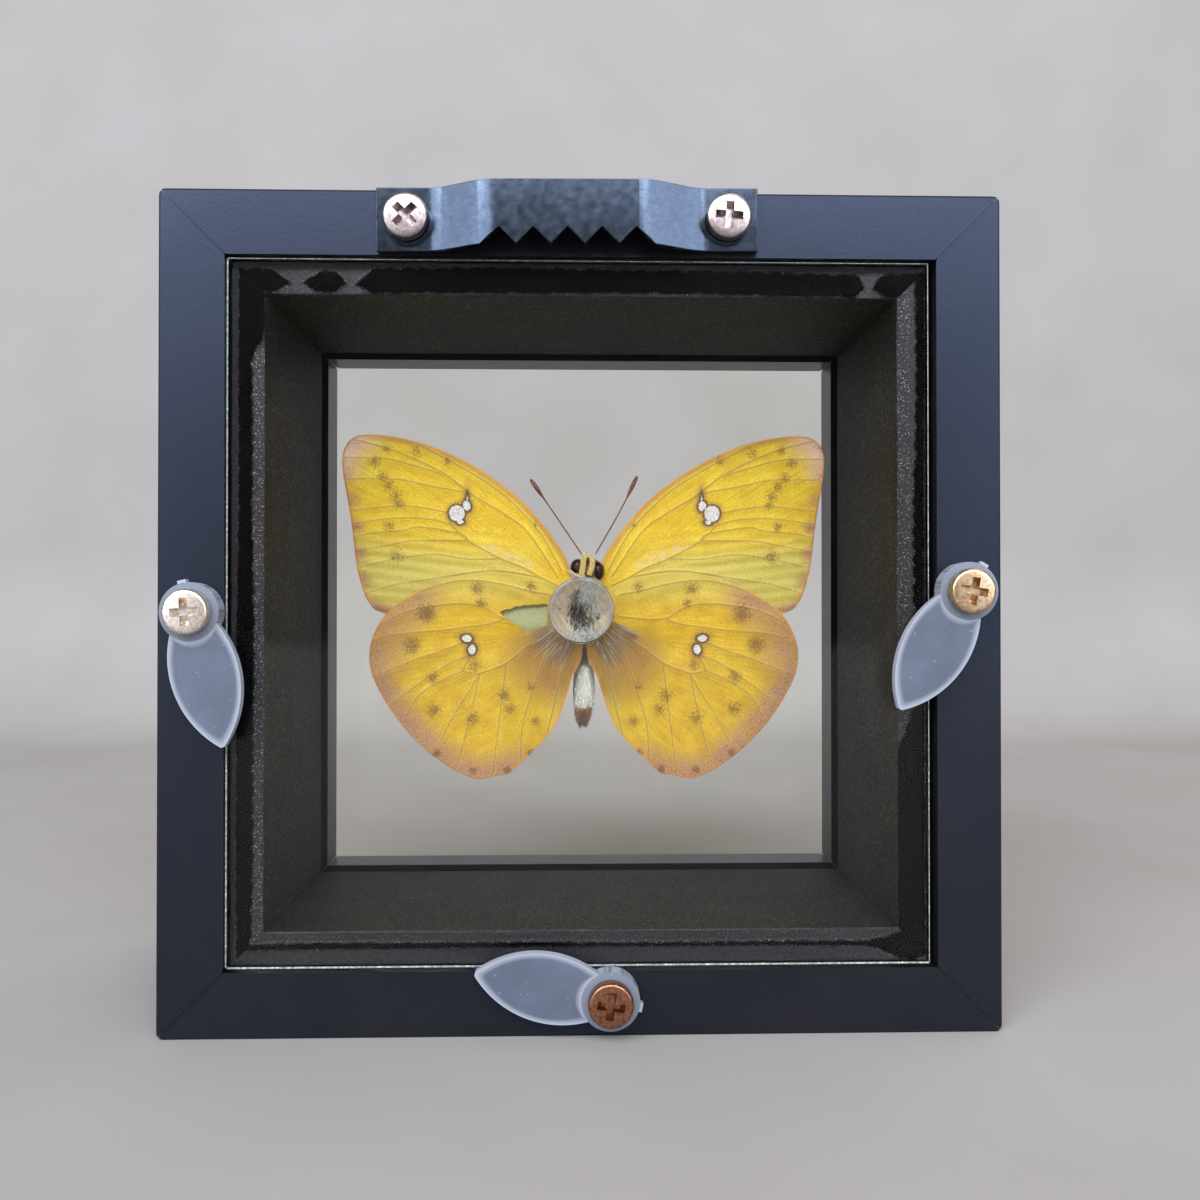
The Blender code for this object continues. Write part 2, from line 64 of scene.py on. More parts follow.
def softStep(value, low, high):
    t = np.clip((value - low) / (high - low), 0, 1)
    return t * t * (3 - 2 * t)


def deselectAll():
    if bpy.context.object and bpy.context.object.mode != "OBJECT":
        bpy.ops.object.mode_set(mode="OBJECT")
    bpy.ops.object.select_all(action="DESELECT")


def pick(*objects):
    deselectAll()
    for obj in objects:
        obj.select_set(True)
    bpy.context.view_layer.objects.active = objects[0]
    return objects[0]


def applyAll(obj):
    pick(obj)
    for modifier in list(obj.modifiers):
        bpy.ops.object.modifier_apply(modifier=modifier.name)
    bpy.ops.object.transform_apply(location=True, rotation=True, scale=True)
    return obj


def addModifier(obj, kind, **settings):
    modifier = obj.modifiers.new(kind.lower(), kind)
    for name, value in settings.items():
        setattr(modifier, name, value)
    pick(obj)
    bpy.ops.object.modifier_apply(modifier=modifier.name)
    return obj


def cutWith(obj, cutter, operation="DIFFERENCE"):
    addModifier(obj, "BOOLEAN", operation=operation, solver="EXACT", object=cutter)
    bpy.data.objects.remove(cutter, do_unlink=True)
    return obj


def smoothByAngle(obj, angle):
    pick(obj)
    bpy.ops.object.shade_smooth_by_angle(angle=math.radians(angle))
    return obj


def faceOutwards(obj, merge=0.0):
    pick(obj)
    bpy.ops.object.mode_set(mode="EDIT")
    bpy.ops.mesh.select_all(action="SELECT")
    if merge:
        bpy.ops.mesh.remove_doubles(threshold=merge * mm)
    bpy.ops.mesh.normals_make_consistent(inside=False)
    bpy.ops.object.mode_set(mode="OBJECT")
    return obj


def copyOf(obj):
    copy = obj.copy()
    copy.data = obj.data.copy()
    for key in list(copy.keys()):
        del copy[key]
    copy.parent = None
    bpy.context.collection.objects.link(copy)
    return copy


def addGrid(columns, rows):
    # A flat sheet one unit across that is then laid out point by point, with its own two coordinates.
    deselectAll()
    bpy.ops.mesh.primitive_grid_add(x_subdivisions=columns, y_subdivisions=rows, size=1)
    sheet = bpy.context.object
    flat = np.zeros(len(sheet.data.vertices) * 3)
    sheet.data.vertices.foreach_get("co", flat)
    return sheet, flat.reshape(-1, 3)[:, 0], flat.reshape(-1, 3)[:, 1]


def setField(mesh, name, values):
    layer = mesh.attributes.new(name, "FLOAT", "POINT")
    layer.data.foreach_set("value", np.asarray(values, np.float32))


def setTint(mesh, colours):
    layer = mesh.color_attributes.new("strandColour", "FLOAT_COLOR", "POINT")
    withAlpha = np.column_stack([colours, np.ones(len(colours))])
    layer.data.foreach_set("color", withAlpha.astype(np.float32).ravel())


def finishPiece(obj, name, material, body, nodes=()):
    applyAll(obj)
    obj.name = name
    obj.data.name = name
    obj.data.materials.clear()
    obj.data.materials.append(material)
    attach(obj, body)
    if nodes:
        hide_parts(*nodes)
    deselectAll()
    return obj


def fromHex(text):
    channels = [int(text[start:start + 2], 16) / 255 for start in (1, 3, 5)]
    linear = [c / 12.92 if c <= 0.04045 else ((c + 0.055) / 1.055) ** 2.4 for c in channels]
    return (*linear, 1.0)


def perSize(size):
    return 1 / (size * mm)    # pattern scale for a feature of that many millimetres


def addNode(tree, kind, inputs=None, settings=None, out=0, stops=None):
    made = tree.nodes.new("ShaderNode" + kind)
    for name, value in (settings or {}).items():
        setattr(made, name, value)
    for name, value in (inputs or {}).items():
        if isinstance(value, bpy.types.NodeSocket):
            tree.links.new(value, made.inputs[name])
        else:
            made.inputs[name].default_value = value
    if stops:
        ramp = made.color_ramp
        while len(ramp.elements) < len(stops):
            ramp.elements.new(0.5)
        for element, (position, colour) in zip(ramp.elements, stops):
            element.position = position
            element.color = fromHex(colour)
    return made.outputs[out]


def newMaterial(name):
    material = bpy.data.materials.new(name)
    material.use_nodes = True
    tree = material.node_tree
    tree.nodes.clear()
    return material, tree, addNode(tree, "TexCoord", out="Object")


def setSurface(material, inputs):
    tree = material.node_tree
    shader = addNode(tree, "BsdfPrincipled", inputs)
    surfaceOut = tree.nodes.new("ShaderNodeOutputMaterial")
    tree.links.new(shader, surfaceOut.inputs["Surface"])
    return material


def mixColour(tree, factor, first, second, blendType="MIX"):
    return addNode(tree, "Mix", {0: factor, 6: first, 7: second},
                   {"data_type": "RGBA", "blend_type": blendType, "clamp_factor": True}, out=2)


def satinBlackPaint():
    # Sprayed satin lacquer on a wooden moulding: broad soft sheen, faint orange peel, dust nibs.
    material, tree, where = newMaterial("satin_black_lacquer_sprayed")
    peel = addNode(tree, "TexNoise", {"Vector": where, "Scale": perSize(0.7), "Detail": 3.0})
    nibs = addNode(tree, "TexNoise", {"Vector": where, "Scale": perSize(0.22), "Detail": 2.0})
    cloud = addNode(tree, "TexNoise", {"Vector": where, "Scale": perSize(14), "Detail": 4.0})
    shade = addNode(tree, "ValToRGB", {"Fac": cloud}, stops=[(0.3, "#0d0a06"), (0.7, "#120e09")])
    fleck = addNode(tree, "ValToRGB", {"Fac": nibs}, stops=[(0.70, "#000000"), (0.78, "#2c2b29")])
    colour = mixColour(tree, 1.0, shade, fleck, "ADD")
    rough = addNode(tree, "MapRange", {"Value": cloud, 3: 0.3, 4: 0.37})
    height = addNode(tree, "Math", {0: peel, 1: nibs}, {"operation": "ADD"})
    bump = addNode(tree, "Bump", {"Strength": 0.35, "Distance": 0.03 * mm, "Height": height})
    # The blue specular tint is painted light: a cool cast on the sheen, standing for bluish window light.
    return setSurface(material, {"Base Color": colour, "Roughness": rough, "Normal": bump,
                                 "Specular Tint": fromHex("#b8cffc"), "Specular IOR Level": 0.56})


def stainedSpacerWood():
    # Dark stained strip wood, sanded and unsealed: dull, with a fine grain of pores.
    material, tree, where = newMaterial("dark_stained_strip_wood")
    pores = addNode(tree, "TexNoise", {"Vector": where, "Scale": perSize(0.65), "Detail": 5.0,
                                       "Roughness": 0.8})
    cloud = addNode(tree, "TexNoise", {"Vector": where, "Scale": perSize(9), "Detail": 3.0})
    grain = addNode(tree, "ValToRGB", {"Fac": pores},
                    stops=[(0.42, "#0a0906"), (0.52, "#1a1711"), (0.62, "#47423a")])
    cloudy = addNode(tree, "ValToRGB", {"Fac": cloud}, stops=[(0.3, "#a0a0a0"), (0.7, "#ffffff")])
    colour = mixColour(tree, 1.0, grain, cloudy, "MULTIPLY")
    dust = addNode(tree, "TexNoise", {"Vector": where, "Scale": perSize(0.4), "Detail": 2.0})
    dust = addNode(tree, "MapRange", {"Value": dust, 1: 0.6, 2: 0.72, 3: 0.0, 4: 0.5})
    colour = mixColour(tree, dust, colour, fromHex("#8f897c"))
    bump = addNode(tree, "Bump", {"Strength": 0.5, "Distance": 0.05 * mm, "Height": pores})
    return setSurface(material, {"Base Color": colour, "Roughness": 0.65, "Normal": bump,
                                 "Specular IOR Level": 0.22})


def floatGlass():
    # Picture glass with an anti-reflection wash: its low IOR leaves only a trace of glare on both faces.
    material, tree, where = newMaterial("clear_picture_glass_washed")
    smear = addNode(tree, "TexNoise", {"Vector": where, "Scale": perSize(22), "Detail": 4.0})
    colour = addNode(tree, "ValToRGB", {"Fac": smear}, stops=[(0.3, "#fbfcf8"), (0.7, "#fefefc")])
    return setSurface(material, {"Base Color": colour, "Roughness": 0.0, "IOR": 1.22,
                                 "Transmission Weight": 1.0})


def groundGlassEdge():
    # Edge of cut glass rubbed on a stone: pale green-white and frosted.
    material, tree, where = newMaterial("ground_glass_edge")
    chips = addNode(tree, "TexNoise", {"Vector": where, "Scale": perSize(0.6), "Detail": 5.0,
                                       "Roughness": 0.8})
    colour = addNode(tree, "ValToRGB", {"Fac": chips},
                     stops=[(0.4, "#56605b"), (0.55, "#98a39c"), (0.65, "#e4ebe6")])
    bump = addNode(tree, "Bump", {"Strength": 0.6, "Distance": 0.05 * mm, "Height": chips})
    return setSurface(material, {"Base Color": colour, "Roughness": 0.5, "Normal": bump})


def zincPlate():
    # Zinc plated strip steel, stamped: blue-grey metal, cloudy, with fine rolling lines along the strip.
    material, tree, where = newMaterial("zinc_plated_stamped_steel")
    stretch = addNode(tree, "Mapping", {"Vector": where, "Scale": (0.25, 1.0, 2.5)})
    cloud = addNode(tree, "TexNoise", {"Vector": where, "Scale": perSize(1.3), "Detail": 6.0,
                                       "Roughness": 0.7})
    lines = addNode(tree, "TexNoise", {"Vector": stretch, "Scale": perSize(0.5), "Detail": 3.0})
    both = addNode(tree, "Mix", {0: 0.35, 2: cloud, 3: lines})
    colour = addNode(tree, "ValToRGB", {"Fac": both},
                     stops=[(0.3, "#414956"), (0.5, "#485260"), (0.7, "#525d6a")])
    rough = addNode(tree, "MapRange", {"Value": cloud, 1: 0.3, 2: 0.7, 3: 0.13, 4: 0.19})
    bump = addNode(tree, "Bump", {"Strength": 0.1, "Distance": 0.02 * mm, "Height": both})
    return setSurface(material, {"Base Color": colour, "Metallic": 1.0, "Roughness": rough, "Normal": bump})


def screwPlate(name, dark, light):
    # Plated steel screw: bright rim, with the plating stained and cloudy.
    material, tree, where = newMaterial(name)
    stain = addNode(tree, "TexNoise", {"Vector": where, "Scale": perSize(0.55), "Detail": 5.0,
                                       "Roughness": 0.7})
    colour = addNode(tree, "ValToRGB", {"Fac": stain}, stops=[(0.35, dark), (0.62, light)])
    rough = addNode(tree, "MapRange", {"Value": stain, 3: 0.42, 4: 0.22})
    bump = addNode(tree, "Bump", {"Strength": 0.25, "Distance": 0.03 * mm, "Height": stain})
    return setSurface(material, {"Base Color": colour, "Metallic": 1.0, "Roughness": rough, "Normal": bump})


def milkyPlastic():
    # Polyethylene, moulded unpigmented: milky and waxy, letting the dark rail through; paler along its edges
    # as a painted highlight, standing for the light inside the plastic that comes out there.
    material, tree, where = newMaterial("milky_polyethylene_moulded")
    flow = addNode(tree, "TexNoise", {"Vector": where, "Scale": perSize(6), "Detail": 3.0})
    scratch = addNode(tree, "TexNoise", {"Vector": where, "Scale": perSize(0.3), "Detail": 3.0})
    bits = addNode(tree, "TexNoise", {"Vector": where, "Scale": perSize(0.5), "Detail": 1.0})
    colour = addNode(tree, "ValToRGB", {"Fac": flow}, stops=[(0.3, "#596273"), (0.7, "#687182")])
    fleck = addNode(tree, "MapRange", {"Value": bits, 1: 0.72, 2: 0.76, 3: 0.0, 4: 0.5})
    colour = mixColour(tree, fleck, colour, fromHex("#b9c0ca"))
    # Painted highlight along the outline, read from the rim field.
    rim = addNode(tree, "Attribute", settings={"attribute_name": "rim"}, out="Fac")
    rim = addNode(tree, "MapRange", {"Value": rim, 1: 0.84, 2: 1.0, 3: 0.0, 4: 0.85})
    colour = mixColour(tree, rim, colour, fromHex("#c3cad4"))
    rough = addNode(tree, "MapRange", {"Value": scratch, 3: 0.34, 4: 0.5})
    bump = addNode(tree, "Bump", {"Strength": 0.25, "Distance": 0.03 * mm, "Height": scratch})
    return setSurface(material, {"Base Color": colour, "Roughness": rough, "IOR": 1.51, "Normal": bump,
                                 "Transmission Weight": 0.45})


def castAcrylic():
    # Cast acrylic rod with sawn and polished ends.
    material, tree, where = newMaterial("clear_cast_acrylic")
    haze = addNode(tree, "TexNoise", {"Vector": where, "Scale": perSize(4), "Detail": 3.0})
    colour = addNode(tree, "ValToRGB", {"Fac": haze}, stops=[(0.3, "#fcfcfb"), (0.7, "#ffffff")])
    return setSurface(material, {"Base Color": colour, "Roughness": 0.02, "IOR": 1.49,
                                 "Transmission Weight": 1.0})


def antennaShell():
    # Antenna chitin: red-brown and faintly ringed.
    material, tree, where = newMaterial("antenna_chitin_red_brown")
    rings = addNode(tree, "TexNoise", {"Vector": where, "Scale": perSize(0.35), "Detail": 2.0})
    colour = addNode(tree, "ValToRGB", {"Fac": rings}, stops=[(0.35, "#4c2416"), (0.65, "#8a4a32")])
    return setSurface(material, {"Base Color": colour, "Roughness": 0.45})


def eyeShell():
    # Compound eye: dark red-brown and glossy under a net of facets, drawn coarser than real to show.
    material, tree, where = newMaterial("compound_eye_facets")
    net = addNode(tree, "TexVoronoi", {"Vector": where, "Scale": perSize(0.16)})
    colour = addNode(tree, "ValToRGB", {"Fac": net}, stops=[(0.2, "#3c110b"), (0.7, "#1a0805")])
    bump = addNode(tree, "Bump", {"Strength": 0.2, "Distance": 0.02 * mm, "Height": net})
    return setSurface(material, {"Base Color": colour, "Roughness": 0.35, "Specular IOR Level": 0.25,
                                 "Normal": bump})


def bodyHair():
    # Thorax and abdomen down: the strand's own colour, dull, lighter towards the light.
    material, tree, where = newMaterial("body_down_fibres")
    tint = addNode(tree, "Attribute", settings={"attribute_name": "strandColour"}, out="Color")
    patch = addNode(tree, "TexNoise", {"Vector": where, "Scale": perSize(0.4), "Detail": 2.0})
    uneven = addNode(tree, "ValToRGB", {"Fac": patch}, stops=[(0.3, "#dadada"), (0.7, "#ffffff")])
    colour = mixColour(tree, 1.0, tint, uneven, "MULTIPLY")
    return setSurface(material, {"Base Color": colour, "Roughness": 0.75, "Sheen Weight": 0.5})


def gluePad():
    # Dried glue with flattened body down in it: taupe, streaky, dull. Its tints are lifted towards white as
    # painted light, making up for the light that the post holds back.
    material, tree, where = newMaterial("dried_glue_taupe")
    cloud = addNode(tree, "TexNoise", {"Vector": where, "Scale": perSize(2.4), "Detail": 4.0})
    felt = addNode(tree, "TexNoise", {"Vector": where, "Scale": perSize(0.35), "Detail": 4.0})
    tint = addNode(tree, "Attribute", settings={"attribute_name": "strandColour"}, out="Color")
    patch = addNode(tree, "ValToRGB", {"Fac": cloud}, stops=[(0.35, "#efeeee"), (0.6, "#ffffff")])
    colour = mixColour(tree, 1.0, tint, patch, "MULTIPLY")
    fuzz = addNode(tree, "ValToRGB", {"Fac": felt}, stops=[(0.3, "#e6e6e6"), (0.7, "#ffffff")])
    colour = mixColour(tree, 1.0, colour, fuzz, "MULTIPLY")
    bump = addNode(tree, "Bump", {"Strength": 0.5, "Distance": 0.05 * mm, "Height": felt})
    return setSurface(material, {"Base Color": colour, "Roughness": 0.6, "Normal": bump, "Sheen Weight": 0.6})


def paneGlue():
    # Black contact glue squeezed between pane and wood: glassy black where it wetted the pane, pimpled where
    # it pulled away. The glint field paints silvery reflections where it pulled away and a painted highlight
    # along the wet edge.
    material, tree, where = newMaterial("black_glue_wetted_and_dry")
    wet = addNode(tree, "Attribute", settings={"attribute_name": "wet"}, out="Fac")
    glint = addNode(tree, "Attribute", settings={"attribute_name": "glint"}, out="Fac")
    fine = addNode(tree, "TexNoise", {"Vector": where, "Scale": perSize(0.4), "Detail": 3.0,
                                      "Roughness": 0.7})
    pimple = addNode(tree, "TexVoronoi", {"Vector": where, "Scale": perSize(0.32)})
    dull = addNode(tree, "ValToRGB", {"Fac": fine}, stops=[(0.35, "#100e12"), (0.7, "#312e32")])
    # Painted glints: pale silvery reflection specks, as strong as the glint field.
    spots = addNode(tree, "Math", {0: fine, 1: pimple}, {"operation": "SUBTRACT"})
    spots = addNode(tree, "MapRange", {"Value": spots, 1: 0.2, 2: 0.4})
    spots = addNode(tree, "Math", {0: spots, 1: glint}, {"operation": "MULTIPLY"})
    colour = mixColour(tree, wet, dull, fromHex("#030305"))
    colour = mixColour(tree, spots, colour, fromHex("#9a9694"))
    rough = addNode(tree, "MapRange", {"Value": wet, 3: 0.45, 4: 0.3})
    gloss = addNode(tree, "MapRange", {"Value": wet, 3: 0.3, 4: 0.02})
    bump = addNode(tree, "Bump", {"Strength": 0.6, "Distance": 0.08 * mm, "Height": fine})
    return setSurface(material, {"Base Color": colour, "Roughness": rough, "Normal": bump,
                                 "Specular IOR Level": gloss})


def wingScales(name, side, wing):
    # Wing membrane under overlapping powdery scales: matt and grainy, streaked outwards from the root,
    # with browned veins, dusted brown spots and mother-of-pearl spots. The scales are drawn a little
    # coarser than real, so that their grain shows.
    material, tree, where = newMaterial(name)
    read = {}
    for field in ("vein", "edge", "brown", "apex", "pink", "green", "orange", "bare", "around", "outward"):
        read[field] = addNode(tree, "Attribute", settings={"attribute_name": field}, out="Fac")
    split = addNode(tree, "SeparateXYZ", {"Vector": where})
    tall = split.node.outputs["Z"]
    flat = addNode(tree, "CombineXYZ", {"X": split, "Z": tall})
    fine = addNode(tree, "TexNoise", {"Vector": where, "Scale": perSize(0.17), "Detail": 2.0})
    speck = addNode(tree, "TexNoise", {"Vector": where, "Scale": perSize(0.33), "Detail": 4.0,
                                       "Roughness": 0.8})
    cloud = addNode(tree, "TexNoise", {"Vector": where, "Scale": perSize(3.2), "Detail": 5.0})
    rays = addNode(tree, "CombineXYZ", {"X": read["around"], "Y": read["outward"]})
    rays = addNode(tree, "Mapping", {"Vector": rays, "Scale": (190.0, 6.0, 1.0)})
    streak = addNode(tree, "TexNoise", {"Vector": rays, "Scale": 1.0, "Detail": 3.0})
    mixed = addNode(tree, "Mix", {0: 0.5, 2: cloud, 3: streak})
    colour = addNode(tree, "ValToRGB", {"Fac": mixed}, stops=wing["yellows"])
    colour = mixColour(tree, read["green"], colour, fromHex("#d0be58"))
    warm = addNode(tree, "Math", {0: read["orange"], 1: mixed}, {"operation": "MULTIPLY"})
    warm = addNode(tree, "MapRange", {"Value": warm, 1: 0.05, 2: 0.5})
    colour = mixColour(tree, warm, colour, fromHex("#ad7f34"))
    rosy = addNode(tree, "Math", {0: read["pink"], 1: mixed}, {"operation": "MULTIPLY"})
    rosy = addNode(tree, "MapRange", {"Value": rosy, 1: 0.12, 2: 0.52})
    colour = mixColour(tree, rosy, colour, fromHex("#b78663"))
    colour = mixColour(tree, read["apex"], colour, fromHex("#edc4aa"))
    colour = mixColour(tree, read["bare"], colour, fromHex("#b3b68a"))
    # Vein: a thin browned line with pale flanks.
    flank = addNode(tree, "MapRange", {"Value": read["vein"], 1: 0.5, 2: 0.2, 3: 0.0, 4: 0.12})
    colour = mixColour(tree, flank, colour, fromHex("#f0da80"))
    line = addNode(tree, "MapRange", {"Value": read["vein"], 1: 0.2, 2: 0.05, 3: 0.0, 4: 0.6})
    colour = mixColour(tree, line, colour, fromHex("#94702a"))
    colour = mixColour(tree, read["edge"], colour, fromHex("#dd9238"))
    # Brown dusting: single dark scales, thicker towards the middle of a spot and in the rosy parts.
    thick = addNode(tree, "Math", {0: read["pink"], 1: 0.14}, {"operation": "MULTIPLY"})
    thick = addNode(tree, "Math", {0: read["brown"], 1: 0.34, 2: thick}, {"operation": "MULTIPLY_ADD"})
    dust = addNode(tree, "Math", {0: thick, 1: speck}, {"operation": "ADD"})
    dust = addNode(tree, "MapRange", {"Value": dust, 1: 0.64, 2: 0.8, 3: 0.0, 4: 0.72})
    colour = mixColour(tree, dust, colour, fromHex("#6a4520"))
    # Mother-of-pearl spots: ragged ellipses in a dark ring; gap is the distance in mm from the nearest rim.
    gap = None
    for across, up, halfWide, halfTall, lean in wing["silver"]:
        spot = {"Vector": flat, "Location": (side * across * mm + bodyAxis * mm, 0, middleUp + up * mm),
                "Rotation": (0, side * math.radians(lean), 0), "Scale": (halfWide * mm, 1, halfTall * mm)}
        local = addNode(tree, "Mapping", spot, {"vector_type": "TEXTURE"})
        reach = addNode(tree, "VectorMath", {0: local}, {"operation": "LENGTH"}, out="Value")
        size = min(halfWide, halfTall)
        away = addNode(tree, "Math", {0: reach, 1: size, 2: -size}, {"operation": "MULTIPLY_ADD"})
        gap = away if gap is None else addNode(tree, "Math", {0: gap, 1: away}, {"operation": "MINIMUM"})
    gap = addNode(tree, "Math", {0: speck, 1: 0.7, 2: gap}, {"operation": "MULTIPLY_ADD"})
    smoke = addNode(tree, "MapRange", {"Value": gap, 1: 1.5, 2: 0.75, 3: 0.0, 4: 0.5})
    colour = mixColour(tree, smoke, colour, fromHex("#94672c"))
    ring = addNode(tree, "MapRange", {"Value": gap, 1: 0.8, 2: 0.62, 3: 0.0, 4: 0.85})
    colour = mixColour(tree, ring, colour, fromHex("#55321a"))
    shine = addNode(tree, "MapRange", {"Value": gap, 1: 0.4, 2: 0.32})
    pearl = addNode(tree, "ValToRGB", {"Fac": fine}, stops=[(0.3, "#c8bfb6"), (0.7, "#f6f2ea")])
    colour = mixColour(tree, shine, colour, pearl)
    grain = addNode(tree, "ValToRGB", {"Fac": fine}, stops=[(0.3, "#cfcfcf"), (0.7, "#ffffff")])
    colour = mixColour(tree, 1.0, colour, grain, "MULTIPLY")
    bump = addNode(tree, "Bump", {"Strength": 0.45, "Distance": 0.03 * mm, "Height": fine})
    return setSurface(material, {"Base Color": colour, "Roughness": 0.7, "Normal": bump})


cameraSet = {"behind": 163.2, "aside": 1.74, "above": 0.48, "turn": 1.49, "tip": 0.49, "lens": 32.56}
bpy.ops.object.camera_add(location=place(cameraSet["aside"], -cameraSet["behind"], cameraSet["above"]))
camera = bpy.context.object
camera.rotation_euler = (math.radians(90 + cameraSet["tip"]), 0, math.radians(180 - cameraSet["turn"]))
camera.data.lens = cameraSet["lens"]
camera.data.sensor_width = 36
camera.data.clip_start = 0.005
bpy.context.scene.camera = camera
print("camera set behind the frame")

# Metres: floor and wall width, where the wall stands, radius of the sweep, wall height, floor in front.
stageSet = {"wide": 6.0, "wallAt": -0.42, "sweep": 0.10, "wallHigh": 3.0, "reach": 3.0, "steps": 16}


def matStage():
    # Matt painted board, pale warm grey.
    material, tree, where = newMaterial("matt_pale_board")
    cloud = addNode(tree, "TexNoise", {"Vector": where, "Scale": perSize(60), "Detail": 4.0})
    colour = addNode(tree, "ValToRGB", {"Fac": cloud}, stops=[(0.3, "#8f8c87"), (0.7, "#95928e")])
    return setSurface(material, {"Base Color": colour, "Roughness": 0.8})


def buildStage():
    deselectAll()
    bpy.ops.mesh.primitive_plane_add(size=1)
    floor = bpy.context.object
    floor.name = "pale_floor_sweep"
    floor.scale = (stageSet["wide"], 1, 1)
    bpy.ops.object.transform_apply(scale=True)
    mesh = floor.data
    for vertex in mesh.vertices:
        vertex.co.y = stageSet["reach"] if vertex.co.y > 0 else stageSet["wallAt"] + stageSet["sweep"]
    bpy.ops.object.mode_set(mode="EDIT")
    bpy.ops.mesh.select_all(action="DESELECT")
    bpy.ops.object.mode_set(mode="OBJECT")
    for edge in mesh.edges:
        ends = [mesh.vertices[index].co for index in edge.vertices]
        edge.select = all(end.y < 0 for end in ends)
    bpy.ops.object.mode_set(mode="EDIT")
    for step in range(stageSet["steps"]):
        angles = [math.radians(90 * value / stageSet["steps"]) for value in (step, step + 1)]
        out = stageSet["sweep"] * (math.sin(angles[1]) - math.sin(angles[0]))
        up = stageSet["sweep"] * (math.cos(angles[0]) - math.cos(angles[1]))
        bpy.ops.mesh.extrude_region_move(TRANSFORM_OT_translate={"value": (0, -out, up)})
    bpy.ops.mesh.extrude_region_move(TRANSFORM_OT_translate={"value": (0, 0, stageSet["wallHigh"])})
    bpy.ops.object.mode_set(mode="OBJECT")
    smoothByAngle(floor, 40)
    floor.data.materials.append(matStage())
    deselectAll()


def addSoftbox(name, at, size, power, colour):
    direction = Vector(lampAim) - Vector(at)
    bpy.ops.object.light_add(type="AREA", location=at)
    light = bpy.context.object
    light.name = name
    light.rotation_euler = direction.to_track_quat("-Z", "Y").to_euler()
    light.data.shape = "RECTANGLE"
    light.data.size, light.data.size_y = size
    light.data.energy = power
    light.data.color = fromHex(colour)[:3]
    light.visible_camera = False


buildStage()
# Softboxes in metres and watts, all aimed at one point near the middle of the frame.
lampAim = (0, 0, 0.06)
softboxes = {
    "window_behind_camera": {"at": (0.25, 1.42, 1.2), "size": (2.3, 0.8), "power": 66, "colour": "#f1f4ff"},
    "side_right": {"at": (1.1, 1.2, 0.58), "size": (1.1, 1.2), "power": 15, "colour": "#e6edff"},
    "side_left": {"at": (-1.1, 1.2, 0.58), "size": (1.1, 1.2), "power": 17, "colour": "#e6edff"},
    "front_fill": {"at": (-0.5, -0.3, 1.3), "size": (0.8, 0.8), "power": 7, "colour": "#fff1de"},
}
for name, softbox in softboxes.items():
    addSoftbox(name, **softbox)
world = bpy.data.worlds.new("soft_room")
bpy.context.scene.world = world
world.use_nodes = True
world.node_tree.nodes["Background"].inputs["Color"].default_value = fromHex("#e6ddd0")
world.node_tree.nodes["Background"].inputs["Strength"].default_value = 0.15
bpy.context.scene.view_settings.view_transform = "Standard"
print("floor and softboxes set")

finishes = {
    "black_painted_wood": satinBlackPaint(),
    "dark_spacer_wood": stainedSpacerWood(),
    "clear_glass": floatGlass(),
    "ground_edge": groundGlassEdge(),
    "zinc_plated_steel": zincPlate(),
    "nickel_plated_steel": screwPlate("nickel_plated_screw_steel", "#7c7170", "#b5a8a5"),
    "bright_plated": screwPlate("bright_plated_screw_steel", "#b3a28f", "#efe6da"),
    "brass_plated_steel": screwPlate("brass_plated_screw_steel", "#97785a", "#dcc09a"),
    "copper_toned": screwPlate("coppery_plated_screw_steel", "#6e4634", "#b07c60"),
    "milky_plastic": milkyPlastic(),
    "clear_acrylic": castAcrylic(),
    "body_hair": bodyHair(),
    "antenna_brown": antennaShell(),
    "eye": eyeShell(),
    "glue_pad": gluePad(),
    "pane_glue": paneGlue(),
}
keptNodes = {
    "black_painted_wood": ["rail_top", "rail_bottom", "rail_left", "rail_right"],
    "dark_spacer_wood": ["spacer_top", "spacer_bottom", "spacer_left", "spacer_right"],
    "clear_glass": ["front_glass", "back_glass"],
}
for finish, nodes in keptNodes.items():
    for node in nodes:
        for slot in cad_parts[node].material_slots:
            slot.material = finishes[finish]
print("finishes laid on the rails, spacers and panes")

hangerSet = {"bevel": 0.13, "merge": 0.002, "bevelFrom": 32, "smoothTo": 15}


def buildHanger():
    # The stamped strip with its sheared edges broken, so that they catch the light.
    h = hangerSet
    strip = copyOf(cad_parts["sawtooth_hanger"])
    pick(strip)
    bpy.ops.object.mode_set(mode="EDIT")
    bpy.ops.mesh.select_all(action="SELECT")
    bpy.ops.mesh.remove_doubles(threshold=h["merge"] * mm)
    bpy.ops.mesh.dissolve_limited(angle_limit=math.radians(1))
    bpy.ops.mesh.normals_make_consistent(inside=False)
    bpy.ops.object.mode_set(mode="OBJECT")
    smoothByAngle(strip, h["smoothTo"])
    addModifier(strip, "BEVEL", width=h["bevel"] * mm, segments=2, limit_method="ANGLE",
                angle_limit=math.radians(h["bevelFrom"]), harden_normals=True)
    finishPiece(strip, "sawtooth_hanger_stamped", finishes["zinc_plated_steel"], "frame",
                ["sawtooth_hanger"])


buildHanger()
print("hanger stamped")

# Glue lines showing in the mitres, in millimetres out from the middle and in from the back face.
mitreSet = {"thick": 0.16, "inner": 47.75, "rebate": 53.8, "outer": 63.05, "lip": 43.25, "skin": 0.12,
            "deep": 50.6}


